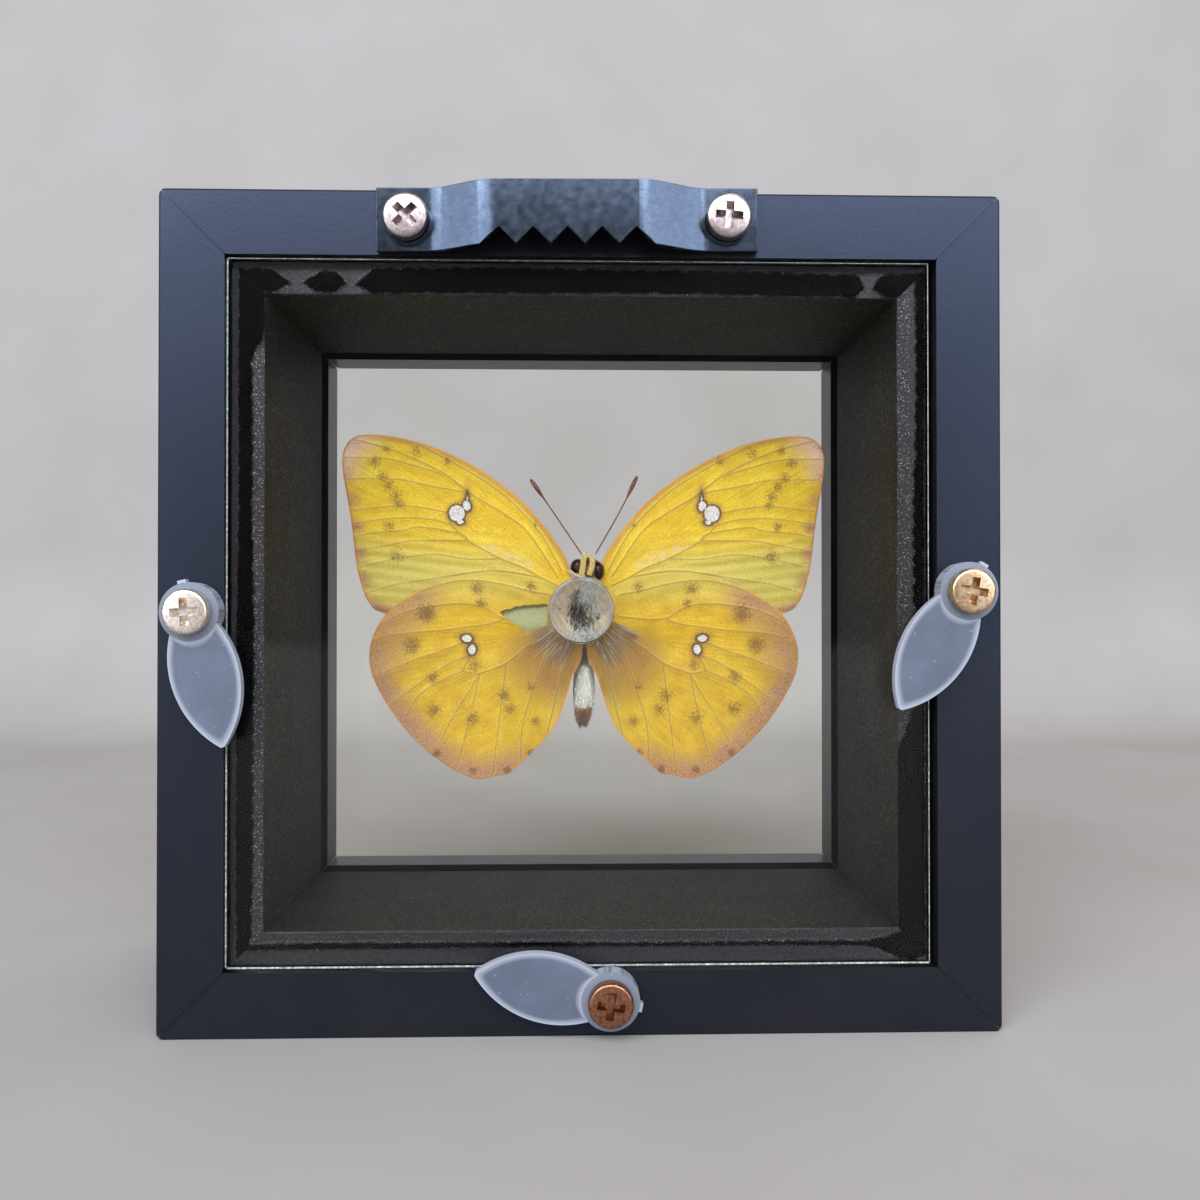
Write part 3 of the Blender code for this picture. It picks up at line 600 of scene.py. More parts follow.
def buildMitreLine(sideX, sideZ, name):
    m = mitreSet
    deselectAll()
    bars = []
    for start, near, far in ((m["rebate"], m["skin"], m["deep"]), (m["inner"], m["lip"], m["deep"])):
        middle = (start + m["outer"]) / 2
        at = place(sideX * middle, (near + far) / 2, sideZ * middle)
        bpy.ops.mesh.primitive_cube_add(size=1, location=at)
        bar = bpy.context.object
        bar.scale = ((m["outer"] - start) * math.sqrt(2) * mm, (far - near) * mm, m["thick"] * mm)
        bar.rotation_euler.y = -math.atan2(sideZ, sideX)
        bpy.ops.object.transform_apply(location=True, rotation=True, scale=True)
        bars.append(bar)
    cutWith(bars[0], bars[1], "UNION")
    finishPiece(bars[0], name, finishes["black_painted_wood"], "frame")


for sideZ, upright in ((1, "top"), (-1, "bottom")):
    for sideX, across in ((1, "right"), (-1, "left")):
        buildMitreLine(sideX, sideZ, "mitre_glue_" + upright + "_" + across)

# Glue between the back pane and the spacers, which wetted the pane only in places. Each side's two scalloped
# edges of the wet part: place from 0 at the rebate to 1 at the spacer, lobe size, lobe pitch in mm, seed.
glueSet = {"inner": 48.32, "outer": 53.3, "touch": 2.74, "apart": 2.9, "grid": 0.2, "thick": 0.06,
           "pinches": ((43.4, 2.6), (35.2, 2.0), (-44.0, 1.2))}
wetEdges = {
    "top": ((0.24, -0.05, 1.3, 1), (0.9, 0.045, 1.6, 2)),
    "bottom": ((0.5, -0.02, 1.0, 3), (0.62, 0.03, 1.4, 4)),
    "right": ((0.22, -0.03, 1.5, 5), (0.62, 0.05, 1.2, 6)),
    "left": ((0.18, -0.02, 1.7, 7), (0.42, 0.06, 1.1, 8)),
}


def lobes(along, pitch, seed):
    # Scalloped edge of a spread bead: round lobes of uneven size.
    shift = np.random.default_rng(seed).uniform(0, 6.28, 4)
    wave = np.abs(np.sin(along / pitch * 1.6 + shift[0]))
    wave = wave + 0.6 * np.abs(np.sin(along / pitch * 0.73 + shift[1]))
    return wave + 0.8 * np.sin(along / 17 + shift[2]) + 0.3 * np.sin(along / 5.3 + shift[3])


def wetness(side, along, inward):
    # along runs across or up the ledge in mm from its middle.
    low, high = (at + size * lobes(along, pitch, seed) for at, size, pitch, seed in wetEdges[side])
    if side == "top":
        for pinch, wide in glueSet["pinches"]:
            close = np.exp(-((along - pinch) / wide) ** 2)
            low = low + 0.5 * close
            high = high - 0.35 * close
    elif side == "bottom":
        low = low - 0.45 * np.exp(-((along + 50) / 4) ** 2)
        high = high + 0.4 * np.exp(-((along + 51) / 4) ** 2)
    elif side == "right":
        high = high + 0.5 * softStep(along, 38, 44)
    else:
        high = high + 0.65 * softStep(-along, 14, 24)
    return softStep(np.minimum(inward - low, high - inward), -0.03, 0.03), low, high


def buildPaneGlue(side):
    g = glueSet
    length = 2 * g["outer"]
    wide = g["outer"] - g["inner"]
    piece, alongSheet, acrossSheet = addGrid(int(length / g["grid"]), int(wide / g["grid"]))
    inward = acrossSheet + 0.5
    off = g["outer"] - inward * wide
    along = alongSheet * 2 * off
    wet, low, high = wetness(side, along, inward)
    # Painted highlight: a broken bright line along the wet edge, and painted glints over the dry inner part
    # of some ledges.
    broken = 0.55 + 0.45 * np.sin(along * 2.3) * np.sin(along * 0.71 + 1)
    rim = broken * np.exp(-((np.minimum(inward - low, high - inward)) / 0.03) ** 2)
    sparkleShare = {"top": 0.1, "bottom": 0.12, "right": 0.8 * softStep(42 - along, 0, 2),
                "left": 0.75 * softStep(along, -20, -14)}[side]
    glint = 0.9 * rim + sparkleShare * (1 - wet) * softStep(inward, 0.55, 0.65) + 0.04
    across, up = {"top": (along, off), "bottom": (along, -off), "right": (off, along),
                  "left": (-off, along)}[side]
    deep = g["apart"] - (g["apart"] - g["touch"]) * wet
    piece.data.vertices.foreach_set("co", placeAll(across, deep, up).ravel())
    setField(piece.data, "wet", wet)
    setField(piece.data, "glint", np.clip(glint, 0, 1))
    addModifier(piece, "SOLIDIFY", thickness=g["thick"] * mm, offset=0)
    faceOutwards(piece)
    bpy.ops.object.shade_smooth()
    finishPiece(piece, "pane_glue_" + side, finishes["pane_glue"], "frame")


for side in wetEdges:
    buildPaneGlue(side)
print("glue lines laid")

# The rubbed arris of the back pane, a hair inside its edge: direction outwards and width in mm. All four
# edges are ground alike; the right and bottom strips are drawn wider as painted light, where those edges
# catch it.
edgeSet = {"right": ((1, 0), 0.22), "bottom": ((0, -1), 0.26), "left": ((-1, 0), 0.1), "top": ((0, 1), 0.1)}
arrisThick = 0.03
paneLow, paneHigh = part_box("back_glass")
for name, ((right, high), wide) in edgeSet.items():
    deselectAll()
    bpy.ops.mesh.primitive_cube_add(size=1)
    strip = bpy.context.object
    centre = (paneLow + paneHigh) / 2
    half = (paneHigh - paneLow) / 2
    centre.x += right * (half.x - wide * mm / 2)
    centre.z += high * (half.z - wide * mm / 2)
    centre.y = paneHigh.y + arrisThick * mm / 2
    strip.location = centre
    strip.scale = (wide * mm if right else 2 * half.x, arrisThick * mm, wide * mm if high else 2 * half.z)
    bpy.ops.object.transform_apply(location=True, scale=True)
    finishPiece(strip, "pane_arris_" + name, finishes["ground_edge"], "frame")
print("pane edges rubbed")

# Radii, heights and widths in mm; long is from the seat to the point.
screwSet = {"head": 3.35, "high": 1.8, "edge": 0.5, "dome": 0.12, "domeRing": 0.55, "domeRings": 4,
            "reach": 2.5, "slot": 1.45, "recess": 1.3, "slotFloor": 0.55, "shank": 1.6, "long": 13.6,
            "taper": 2.6, "point": 0.25}
bossSeat = 3.4        # height of a screw's seat above the back face
hangerSeat = 1.6
screws = {
    "hanger_screw_right": {"seat": hangerSeat, "turn": 45, "finish": "nickel_plated_steel"},
    "hanger_screw_left": {"seat": hangerSeat, "turn": 4, "finish": "nickel_plated_steel"},
    "button_screw_left": {"seat": bossSeat, "turn": 10, "finish": "brass_plated_steel"},
    "button_screw_right": {"seat": bossSeat, "turn": -4, "finish": "bright_plated"},
    "button_screw_bottom": {"seat": bossSeat, "turn": 8, "finish": "copper_toned"},
}


def selectFaces(obj, test):
    bpy.ops.object.mode_set(mode="OBJECT")
    for face in obj.data.polygons:
        face.select = test(face)
    for edge in obj.data.edges:
        edge.select = False
    for vertex in obj.data.vertices:
        vertex.select = False
    for face in obj.data.polygons:
        if face.select:
            for index in face.vertices:
                obj.data.vertices[index].select = True
    bpy.ops.object.mode_set(mode="EDIT")
    bpy.ops.mesh.select_mode(type="FACE")


def buildScrewBlank():
    # Head up along +Z with its seat at 0; turned to face +Y when it is placed.
    s = screwSet
    deselectAll()
    bpy.ops.mesh.primitive_cylinder_add(vertices=64, radius=s["head"] * mm, depth=s["high"] * mm,
                                        location=(0, 0, s["high"] * mm / 2))
    screw = bpy.context.object
    bpy.ops.object.transform_apply(location=True)
    top = s["high"] * mm
    selectFaces(screw, lambda face: face.normal.z < -0.5)
    bpy.ops.mesh.inset(thickness=(s["head"] - s["shank"]) * mm)
    bpy.ops.mesh.extrude_region_move(TRANSFORM_OT_translate={"value": (0, 0, (s["taper"] - s["long"]) * mm)})
    bpy.ops.mesh.extrude_region_move(TRANSFORM_OT_translate={"value": (0, 0, -s["taper"] * mm)})
    bpy.ops.transform.resize(value=(s["point"], s["point"], 1))
    selectFaces(screw, lambda face: face.normal.z > 0.5)
    bpy.ops.mesh.bevel(offset=s["edge"] * mm, segments=4, affect="EDGES")
    selectFaces(screw, lambda face: face.normal.z > 0.999)
    for step in range(s["domeRings"]):
        bpy.ops.mesh.inset(thickness=s["domeRing"] * mm)
        bpy.ops.transform.translate(value=(0, 0, s["dome"] * mm / s["domeRings"]))
    bpy.ops.object.mode_set(mode="OBJECT")
    for turn in (0, 90):
        bpy.ops.mesh.primitive_cube_add(size=1, location=(0, 0, top - s["recess"] * mm / 2 + 0.5 * mm))
        blade = bpy.context.object
        blade.scale = (2 * s["reach"] * mm, s["slot"] * mm, (s["recess"] + 1) * mm)
        blade.rotation_euler.z = math.radians(turn)
        bpy.ops.object.transform_apply(location=True, rotation=True, scale=True)
        selectFaces(blade, lambda face: face.normal.z < -0.5)
        bpy.ops.transform.resize(value=(s["slotFloor"], s["slotFloor"], 1))
        bpy.ops.object.mode_set(mode="OBJECT")
        cutWith(screw, blade)
    return screw


def seatOnAxis(piece, screwName, raised, turn):
    # Turns a blank made facing +Z to face the hanger side, on the axis of the named screw.
    low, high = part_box(screwName)
    at = Vector(((low.x + high.x) / 2, backFace + raised * mm, (low.z + high.z) / 2))
    spin = Matrix.Rotation(turn, 4, "Y")
    tip = Matrix.Rotation(math.radians(-90), 4, "X")
    piece.data.transform(Matrix.Translation(at) @ spin @ tip)
    return piece


screwBlank = buildScrewBlank()
for name, screw in screws.items():
    copy = seatOnAxis(copyOf(screwBlank), name, screw["seat"], math.radians(-screw["turn"]))
    smoothByAngle(copy, 30)
    finishPiece(copy, name + "_turned", finishes[screw["finish"]], "frame",
                [name])
bpy.data.objects.remove(screwBlank, do_unlink=True)
print("screws turned")

buttonSet = {"boss": 4.35, "top": 3.1, "base": 0.3, "armUnder": 1.6, "arc": 15.29, "arcAt": (9.29, 10.24),
             "tipAt": 20.4, "tipDisc": 11.0, "hole": 1.95, "rim": 0.25,
             "gate": (0.9, 1.3, 1.2)}
buttons = {"left": (10.2, -17.3), "right": (-5.0, -20.0), "bottom": (20.3, 4.3)}    # which way each arm lies


def addDisc(across, up, radius, low, high, corners):
    bpy.ops.mesh.primitive_cylinder_add(vertices=corners, radius=radius * mm, depth=(high - low) * mm,
                                        location=(across * mm, up * mm, (high + low) * mm / 2))
    bpy.ops.object.transform_apply(location=True)
    return bpy.context.object


def buildButtonBlank():
    # Boss on the screw's axis, arm along +X, outer face up along +Z. The leaf is where three discs overlap.
    b = buttonSet
    deselectAll()
    arcAcross, arcUp = b["arcAt"]
    leaf = addDisc(arcAcross, arcUp, b["arc"], b["armUnder"], b["top"], 256)
    lower = addDisc(arcAcross, -arcUp, b["arc"], b["armUnder"] - 1, b["top"] + 1, 256)
    cutWith(leaf, lower, "INTERSECT")
    tip = addDisc(b["tipAt"] - b["tipDisc"], 0, b["tipDisc"], b["armUnder"] - 2, b["top"] + 2, 200)
    cutWith(leaf, tip, "INTERSECT")
    boss = addDisc(0, 0, b["boss"], b["base"], b["top"] + 0.03, 96)
    cutWith(boss, leaf, "UNION")
    gateAt = (-b["boss"] * mm, 0, (b["top"] + b["armUnder"]) * mm / 2)
    bpy.ops.mesh.primitive_cube_add(size=1, location=gateAt)
    gate = bpy.context.object
    gate.scale = [side * mm for side in b["gate"]]
    bpy.ops.object.transform_apply(location=True, scale=True)
    cutWith(boss, gate, "UNION")
    cutWith(boss, addDisc(0, 0, b["hole"], -5, 5, 48))
    smoothByAngle(boss, 40)
    addModifier(boss, "BEVEL", width=b["rim"] * mm, segments=3, limit_method="ANGLE",
                angle_limit=math.radians(50), harden_normals=True)
    # A point in the middle of the leaf lets the painted rim highlight fade out inwards.
    tops = [face for face in boss.data.polygons if face.normal.z > 0.99]
    widest = max(tops, key=lambda face: face.area).index
    selectFaces(boss, lambda face: face.index == widest)
    bpy.ops.mesh.poke()
    bpy.ops.object.mode_set(mode="OBJECT")
    rimHighlight = np.array([1.0 if vertex.co.xy.length > b["boss"] * mm else 0.9 for vertex in boss.data.vertices])
    rimHighlight[-1] = 0    # the point that poke added
    setField(boss.data, "rim", rimHighlight)
    return boss


buttonBlank = buildButtonBlank()
for name, (across, up) in buttons.items():
    copy = seatOnAxis(copyOf(buttonBlank), "button_screw_" + name, 0, -math.atan2(up, across))
    smoothByAngle(copy, 40)
    finishPiece(copy, "turn_button_" + name + "_moulded", finishes["milky_plastic"], name + "_button",
                ["turn_button_" + name])
bpy.data.objects.remove(buttonBlank, do_unlink=True)
print("turn buttons moulded")

postSet = {"radius": 5.1, "start": 3.0, "end": 19.5, "across": 0.3, "up": 0.3, "edge": 0.45}


def buildPost():
    p = postSet
    deselectAll()
    bpy.ops.mesh.primitive_cylinder_add(
        vertices=128, radius=p["radius"] * mm, depth=(p["end"] - p["start"]) * mm,
        location=place(p["across"], (p["start"] + p["end"]) / 2, p["up"]), rotation=(math.radians(90), 0, 0))
    post = bpy.context.object
    bpy.ops.object.transform_apply(location=True, rotation=True)
    addModifier(post, "BEVEL", width=p["edge"] * mm, segments=4, limit_method="ANGLE",
                angle_limit=math.radians(50))
    smoothByAngle(post, 40)
    finishPiece(post, "acrylic_post", finishes["clear_acrylic"], "frame", ["clear_post"])


buildPost()
print("post set")

# Wings are half shapes: places in millimetres outwards from the body's axis and up from the middle.
bodyAxis = -0.5
wingGrid = {"columns": 340, "rows": 140, "skin": 0.12, "merge": 0.0005, "edgeSteps": 2000}
forewing = {
    "deep": 24.3, "root": (1.5, 3.0), "node": "forewing",
    "edge": [(1.9, 5.0), (2.5, 7.2), (3.5, 9.8), (5.0, 12.1), (6.7, 14.5), (10.7, 19.0), (15.6, 22.9),
             (20.5, 25.9), (26.0, 28.4), (31.5, 29.9), (36.2, 30.5), (39.4, 30.1), (41.2, 28.2), (41.6, 25.2),
             (41.0, 21.0), (40.2, 16.6), (39.6, 12.1), (39.1, 8.0), (38.2, 4.4), (36.9, 1.5), (35.0, 0.0),
             (28.0, -1.8), (18.0, -2.6), (11.0, -3.6), (6.5, -3.4), (3.0, -1.0)],
    "veins": [
        [(4.0, 7.2), (8.1, 14.2), (13.9, 20.1), (19.8, 24.1), (28.9, 29.0)],
        [(4.6, 6.0), (9.7, 13.6), (13.9, 16.9), (18.8, 19.8), (23.0, 23.0), (26.8, 25.2), (31.1, 27.1),
         (34.8, 28.4), (39.6, 29.6)],
        [(24.1, 23.6), (29.5, 25.2), (34.0, 26.3), (41.3, 26.5)],
        [(20.4, 20.6), (26.8, 21.7), (32.1, 22.8), (41.0, 22.9)],
        [(23.6, 17.1), (27.9, 17.9), (32.1, 18.2), (40.4, 17.4)],
        [(4.6, 4.5), (7.3, 5.8), (10.7, 7.7), (14.7, 9.3), (20.1, 12.3), (22.8, 15.0)],
        [(22.8, 15.0), (26.2, 15.9), (30.8, 16.2), (34.8, 15.9), (40.0, 15.1)],
        [(20.1, 12.3), (21.4, 13.5), (28.4, 14.6), (31.1, 14.0), (36.7, 13.5), (39.7, 12.8)],
        [(20.1, 12.3), (25.4, 12.3), (30.0, 12.2), (33.5, 11.5), (39.3, 10.4)],
        [(14.7, 9.2), (20.1, 9.1), (25.7, 9.9), (32.1, 9.2), (38.9, 7.6)],
        [(8.1, 6.1), (14.7, 7.1), (20.1, 6.7), (26.8, 5.6), (32.1, 4.8), (37.6, 3.2)],
        [(19.6, 20.3), (20.9, 18.6), (22.3, 17.6), (23.6, 17.1), (22.8, 15.0)],
    ],
    # Brown spots: across, up, radius. Silver spots: across, up, half width, half height, lean in degrees.
    "brown": [(29.0, 27.5, 0.9), (23.5, 26.1, 0.8), (34.0, 28.0, 0.7), (36.0, 25.8, 1.0), (34.7, 23.2, 1.0),
              (33.6, 21.7, 1.0), (32.4, 20.0, 1.1), (31.9, 18.6, 0.9), (33.5, 14.7, 1.0), (32.3, 9.7, 1.2),
              (8.5, 15.0, 0.4)],
    "silver": [(22.0, 17.0, 1.3, 1.35, 20), (20.3, 18.3, 0.62, 0.8, 15), (21.4, 15.5, 0.5, 0.35, 0),
               (20.2, 19.5, 0.1, 0.35, 0)],
    "yellows": [(0.32, "#d4a80c"), (0.5, "#e6be1a"), (0.68, "#f0d034")],
}
hindwing = {
    "deep": 23.4, "root": (0.6, -3.0), "node": "hindwing",
    "edge": [(1.0, 0.8), (2.4, 3.0), (4.7, 4.4), (9.5, 6.0), (15.5, 6.7), (21.0, 6.3), (25.3, 5.0),
             (29.6, 2.8), (33.3, 0.3), (35.7, -3.2), (36.8, -7.0), (36.3, -10.6), (34.7, -14.2),
             (32.1, -18.1), (29.3, -21.4), (26.2, -24.2), (22.7, -26.6), (19.6, -28.2), (17.6, -28.5),
             (15.4, -28.0), (13.0, -27.6), (10.2, -25.1), (7.1, -22.0), (5.1, -19.4), (3.6, -15.8),
             (2.2, -11.3), (1.1, -9.2), (0.6, -8.0), (0.3, -6.0)],
    "veins": [
        [(6.0, 3.0), (9.4, 3.6), (14.4, 4.8), (18.8, 5.4), (23.0, 5.1), (28.2, 3.4)],
        [(6.0, -0.8), (10.0, -1.2), (13.9, -1.1), (16.8, 0.6), (20.5, 1.4), (25.4, 1.1), (30.3, 0.1),
         (35.2, -2.3)],
        [(13.9, -1.2), (16.6, -2.1), (20.5, -2.6), (23.9, -3.1), (30.3, -3.6), (36.2, -4.7)],
        [(20.7, -5.2), (24.9, -6.8), (27.1, -7.5), (31.6, -9.2), (36.3, -11.0)],
        [(19.5, -7.3), (23.0, -8.7), (26.6, -11.0), (29.6, -13.2), (33.7, -16.2)],
        [(20.5, -2.6), (19.9, -5.0), (19.5, -7.3), (20.7, -10.0), (18.0, -10.6)],
        [(5.3, -3.3), (9.9, -6.0), (13.4, -8.7), (18.0, -10.6)],
        [(20.7, -10.0), (25.4, -12.2), (28.4, -14.4), (31.3, -19.2)],
        [(18.0, -10.6), (20.0, -13.9), (22.5, -17.9), (24.4, -21.6), (26.0, -24.3)],
        [(18.0, -10.6), (20.0, -19.6), (22.0, -26.9)],
        [(13.4, -8.7), (14.9, -20.8), (15.8, -28.0)],
        [(5.0, -3.3), (7.7, -10.0), (9.4, -14.9), (10.7, -19.8), (11.0, -25.7)],
        [(3.8, -3.8), (3.8, -8.7), (5.0, -14.9), (6.5, -21.0)],
    ],
    "brown": [(9.2, 4.4, 1.0), (18.4, 4.0, 1.2), (17.7, 1.5, 0.9), (26.9, -0.3, 1.3), (29.4, -5.8, 1.3),
              (25.9, -11.1, 1.1), (25.6, -16.7, 1.2), (19.2, -18.2, 1.2), (13.8, -14.3, 1.2),
              (12.8, -16.6, 1.1), (8.4, -18.7, 0.9), (9.3, -12.8, 0.8), (18.7, -9.1, 1.0),
              (25.2, -24.1, 0.5), (19.1, -27.1, 0.5), (13.2, -27.1, 0.5), (9.3, -24.0, 0.5)],
    "silver": [(20.2, -4.5, 0.8, 0.55, -8), (19.3, -6.4, 0.62, 0.8, -12)],
    "yellows": [(0.32, "#c2950a"), (0.5, "#d8ad14"), (0.68, "#e6bf28")],
}
# A window torn in the right hindwing.
tornPatch = [(14.8, 0.1), (11.2, 1.1), (6.2, 1.5), (6.2, -2.6), (8.2, -2.8), (9.9, -3.6), (11.7, -2.3),
             (13.6, -1.1)]


def smoothLine(points, steps):
    # A curve through every point, several steps between each two.
    points = np.array(points, float)
    padded = np.vstack([2 * points[0] - points[1], points, 2 * points[-1] - points[-2]])
    line = []
    for before, start, end, after in zip(padded, padded[1:], padded[2:], padded[3:]):
        for t in np.arange(steps) / steps:
            bend = 2 * start + (end - before) * t + (2 * before - 5 * start + 4 * end - after) * t ** 2
            line.append((bend + (3 * start - before - 3 * end + after) * t ** 3) / 2)
    line.append(points[-1])
    return np.array(line)


def evenLine(line, count):
    lengths = np.concatenate([[0], np.cumsum(np.hypot(*np.diff(line, axis=0).T))])
    at = np.linspace(0, lengths[-1], count)
    return np.column_stack([np.interp(at, lengths, line[:, axis]) for axis in (0, 1)])


def distanceTo(spots, line):
    best = np.full(len(spots), 1e9)
    for start, end in zip(line[:-1], line[1:]):
        along = end - start
        t = np.clip(((spots - start) @ along) / max(along @ along, 1e-12), 0, 1)
        best = np.minimum(best, np.hypot(*(spots - start - t[:, None] * along).T))
    return best


def insideOf(spots, corners):
    # Counts crossings of a ray to the right, so an odd count is inside.
    inside = np.zeros(len(spots), bool)
    for (ax, az), (bx, bz) in zip(corners, corners[1:] + corners[:1]):
        crosses = (az > spots[:, 1]) != (bz > spots[:, 1])
        at = ax + (spots[:, 1] - az) / (bz - az + 1e-12) * (bx - ax)
        inside ^= crosses & (spots[:, 0] < at)
    return inside


def wingFields(wing, spots, around, outward):
    # What the wing's finish is mixed by at each point, from 0 to 1; vein is the distance to a vein in mm.
    margin = distanceTo(spots, smoothLine(wing["edge"], 10))
    fields = {"vein": np.min([distanceTo(spots, smoothLine(vein, 8)) for vein in wing["veins"]], axis=0),
              "brown": np.zeros(len(spots)), "around": around, "outward": outward}
    for across, up, radius in wing["brown"]:
        reach = np.hypot(spots[:, 0] - across, spots[:, 1] - up)
        fields["brown"] = np.maximum(fields["brown"], np.clip(1 - reach / (1.9 * radius), 0, 1))
    across, up = spots.T
    if wing["node"] == "forewing":
        corner = np.hypot(across - 41.5, up - 29.0)
        fields["apex"] = 0.95 * softStep(corner, 8.5, 1.5) * softStep(margin, 6.5, 0.5)
        # Scales rubbed off along the lower vein of the cell.
        rubbed = distanceTo(spots, smoothLine([(9.5, 8.2), (13.0, 9.6), (17.5, 11.6)], 8))
        broken = softStep(np.sin(across * 2.9) + np.sin(up * 4.1), -0.6, 0.6)
        fields["apex"] += 0.4 * softStep(rubbed, 1.0, 0.2) * broken
        patches = 0.5 + 0.5 * np.sin(up * 1.35 + 0.6)
        outer = softStep(across - 0.2 * up, 30, 34)
        fields["pink"] = softStep(margin, 3.6, 0.3) * outer * (0.35 + 0.65 * patches)
        fields["green"] = softStep(12.5 - up + 0.10 * across, 0, 9) * softStep(across, 5, 14)
        fields["orange"] = 0.8 * softStep(margin, 1.6, 0.3) * softStep(up - across * 0.5, 3, 8)
        fields["edge"] = 0.75 * softStep(margin, 0.5, 0.15) * softStep(up, 0.5, 3.0)
        fields["bare"] = 0.9 * softStep(np.hypot((across - 10) / 6.5, (up + 1.5) / 4.0), 1.3, 0.9)
    else:
        fields["apex"] = np.zeros(len(spots))
        lower = softStep(across * 0.8 - up, 24, 38)
        upper = 0.9 * softStep(across, 17, 31) * softStep(up, -14, -8)
        fields["pink"] = softStep(margin, 12, 0.5) * np.maximum(lower * softStep(margin, 8, 0.5), upper)
        inner = softStep(8.5 - across, 0, 6) * softStep(-up, 8, 13)
        fields["green"] = 0.6 * softStep(up, -0.5, 4.5) + 0.5 * inner
        fields["orange"] = softStep(np.hypot((across - 4) / 1.1, up + 7), 12, 4) * softStep(-up, 1, 5)
        fields["edge"] = 0.7 * softStep(margin, 0.5, 0.15) * softStep(across * 0.5 - up, 6, 12)
        fields["bare"] = np.zeros(len(spots))
    return fields


def buildWing(wing, side, name):
    # The sheet is fanned out from the root: one way round the edge, the other from the root outwards.
    g = wingGrid
    piece, roundSheet, outSheet = addGrid(g["columns"], g["rows"])
    mesh = piece.data
    around, outward = roundSheet + 0.5, outSheet + 0.5
    edge = evenLine(smoothLine(wing["edge"], 10), g["edgeSteps"])
    shares = np.linspace(0, 1, g["edgeSteps"])
    onEdge = np.column_stack([np.interp(around, shares, edge[:, axis]) for axis in (0, 1)])
    root = np.array(wing["root"])
    spots = root + outward[:, None] * (onEdge - root)
    fields = wingFields(wing, spots, around, outward)
    across, up = spots.T
    ridge = 0.07 * np.exp(-(fields["vein"] / 0.3) ** 2)
    valley = 0.2 * (1 - np.exp(-(fields["vein"] / 1.5) ** 2))
    if wing["node"] == "forewing":
        pleat = 0.07 * np.sin(2 * math.pi * (up - 0.12 * across) / 1.9) * softStep(across, 10, 20)
        pleat = pleat * softStep(16 - up, 0, 5)
        curl = 0.25 * softStep(np.hypot(across - 39, up - 2), 7, 1)
        curl = curl * (1 if side < 0 else 0.4)    # the left tip has curled more in drying
    else:
        pleat = 0.06 * np.sin(around * 75 + 1.5 * np.sin(outward * 4)) * softStep(outward, 0.25, 0.8)
        curl = 0.2 * np.sin(around * 22) * softStep(outward, 0.7, 1.0)
    fade = softStep(outward, 0.02, 0.25)
    height = fade * (ridge - valley + pleat + curl)
    points = placeAll(bodyAxis + side * across, wing["deep"] - height, up)
    mesh.vertices.foreach_set("co", points.ravel())
    for field, values in fields.items():
        setField(mesh, field, values)
    if wing["node"] == "hindwing" and side > 0:
        # A torn window near the root, where the forewing shows through.
        torn = insideOf(spots + 0.12 * np.sin(spots[:, ::-1] * 4.1), tornPatch)
        selectFaces(piece, lambda face: all(torn[index] for index in face.vertices))
        bpy.ops.mesh.delete(type="FACE")
        bpy.ops.object.mode_set(mode="OBJECT")
    faceOutwards(piece, g["merge"])
    addModifier(piece, "SOLIDIFY", thickness=g["skin"] * mm, offset=0, use_even_offset=False)
    pick(piece)
    bpy.ops.object.shade_smooth()
    finish = wingScales(wing["node"] + "_scales_powdery_" + ("right" if side > 0 else "left"), side, wing)
    return finishPiece(piece, name, finish, "frame")


for sideName, side in (("right", 1), ("left", -1)):
    for wing in (forewing, hindwing):
        piece = buildWing(wing, side, wing["node"] + "_" + sideName + "_spread")
        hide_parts(wing["node"] + "_" + sideName)
print("wings spread")

# Body sections from head to tail: height, shift aside, depth, half width, half thickness.
bodyStations = [
    (9.4, -0.7, 24.2, 0.7, 0.6), (8.9, -0.7, 24.1, 1.5, 1.2), (8.0, -0.6, 24.0, 2.5, 1.9),
    (6.8, -0.5, 24.0, 2.6, 2.1), (6.0, -0.3, 24.0, 1.9, 1.8), (5.2, -0.1, 23.9, 2.8, 2.7),
    (3.4, 0.0, 23.8, 3.9, 3.7), (0.6, 0.0, 23.8, 4.3, 4.0), (-2.2, 0.0, 23.8, 4.1, 3.9),
    (-4.2, 0.0, 24.3, 2.6, 2.5), (-5.4, 0.0, 24.9, 1.0, 1.0), (-7.2, 0.1, 25.6, 0.5, 0.6),
    (-8.8, 0.1, 25.8, 0.75, 0.8), (-9.8, 0.1, 25.9, 1.5, 1.45), (-12.4, 0.1, 25.8, 1.7, 1.6),
    (-15.4, 0.2, 25.5, 1.6, 1.5), (-17.8, 0.3, 25.2, 1.0, 1.0), (-19.3, 0.3, 25.0, 0.3, 0.3),
]
bodyTints = [(9.6, "#5a3a22"), (6.2, "#6b4a2a"), (5.0, "#a88f52"), (0.0, "#9a8454"), (-5.0, "#8a7450"),
             (-7.0, "#6a5a46"), (-9.0, "#a8987a"), (-9.8, "#f4efdf"), (-15.9, "#f2ebd2"), (-16.7, "#955f28"),
             (-19.5, "#633c14")]


def tintAt(up):
    heights = [height for height, tint in reversed(bodyTints)]
    channels = np.array([fromHex(tint)[:3] for height, tint in reversed(bodyTints)])
    return np.column_stack([np.interp(up, heights, channels[:, index]) for index in range(3)])


def meshFrom(name, points, faces):
    mesh = bpy.data.meshes.new(name)
    mesh.from_pydata([tuple(point) for point in points], [], faces)
    piece = bpy.data.objects.new(name, mesh)
    bpy.context.collection.objects.link(piece)
    return piece


strandSet = {"steps": 4, "corners": 3, "taper": 0.55}


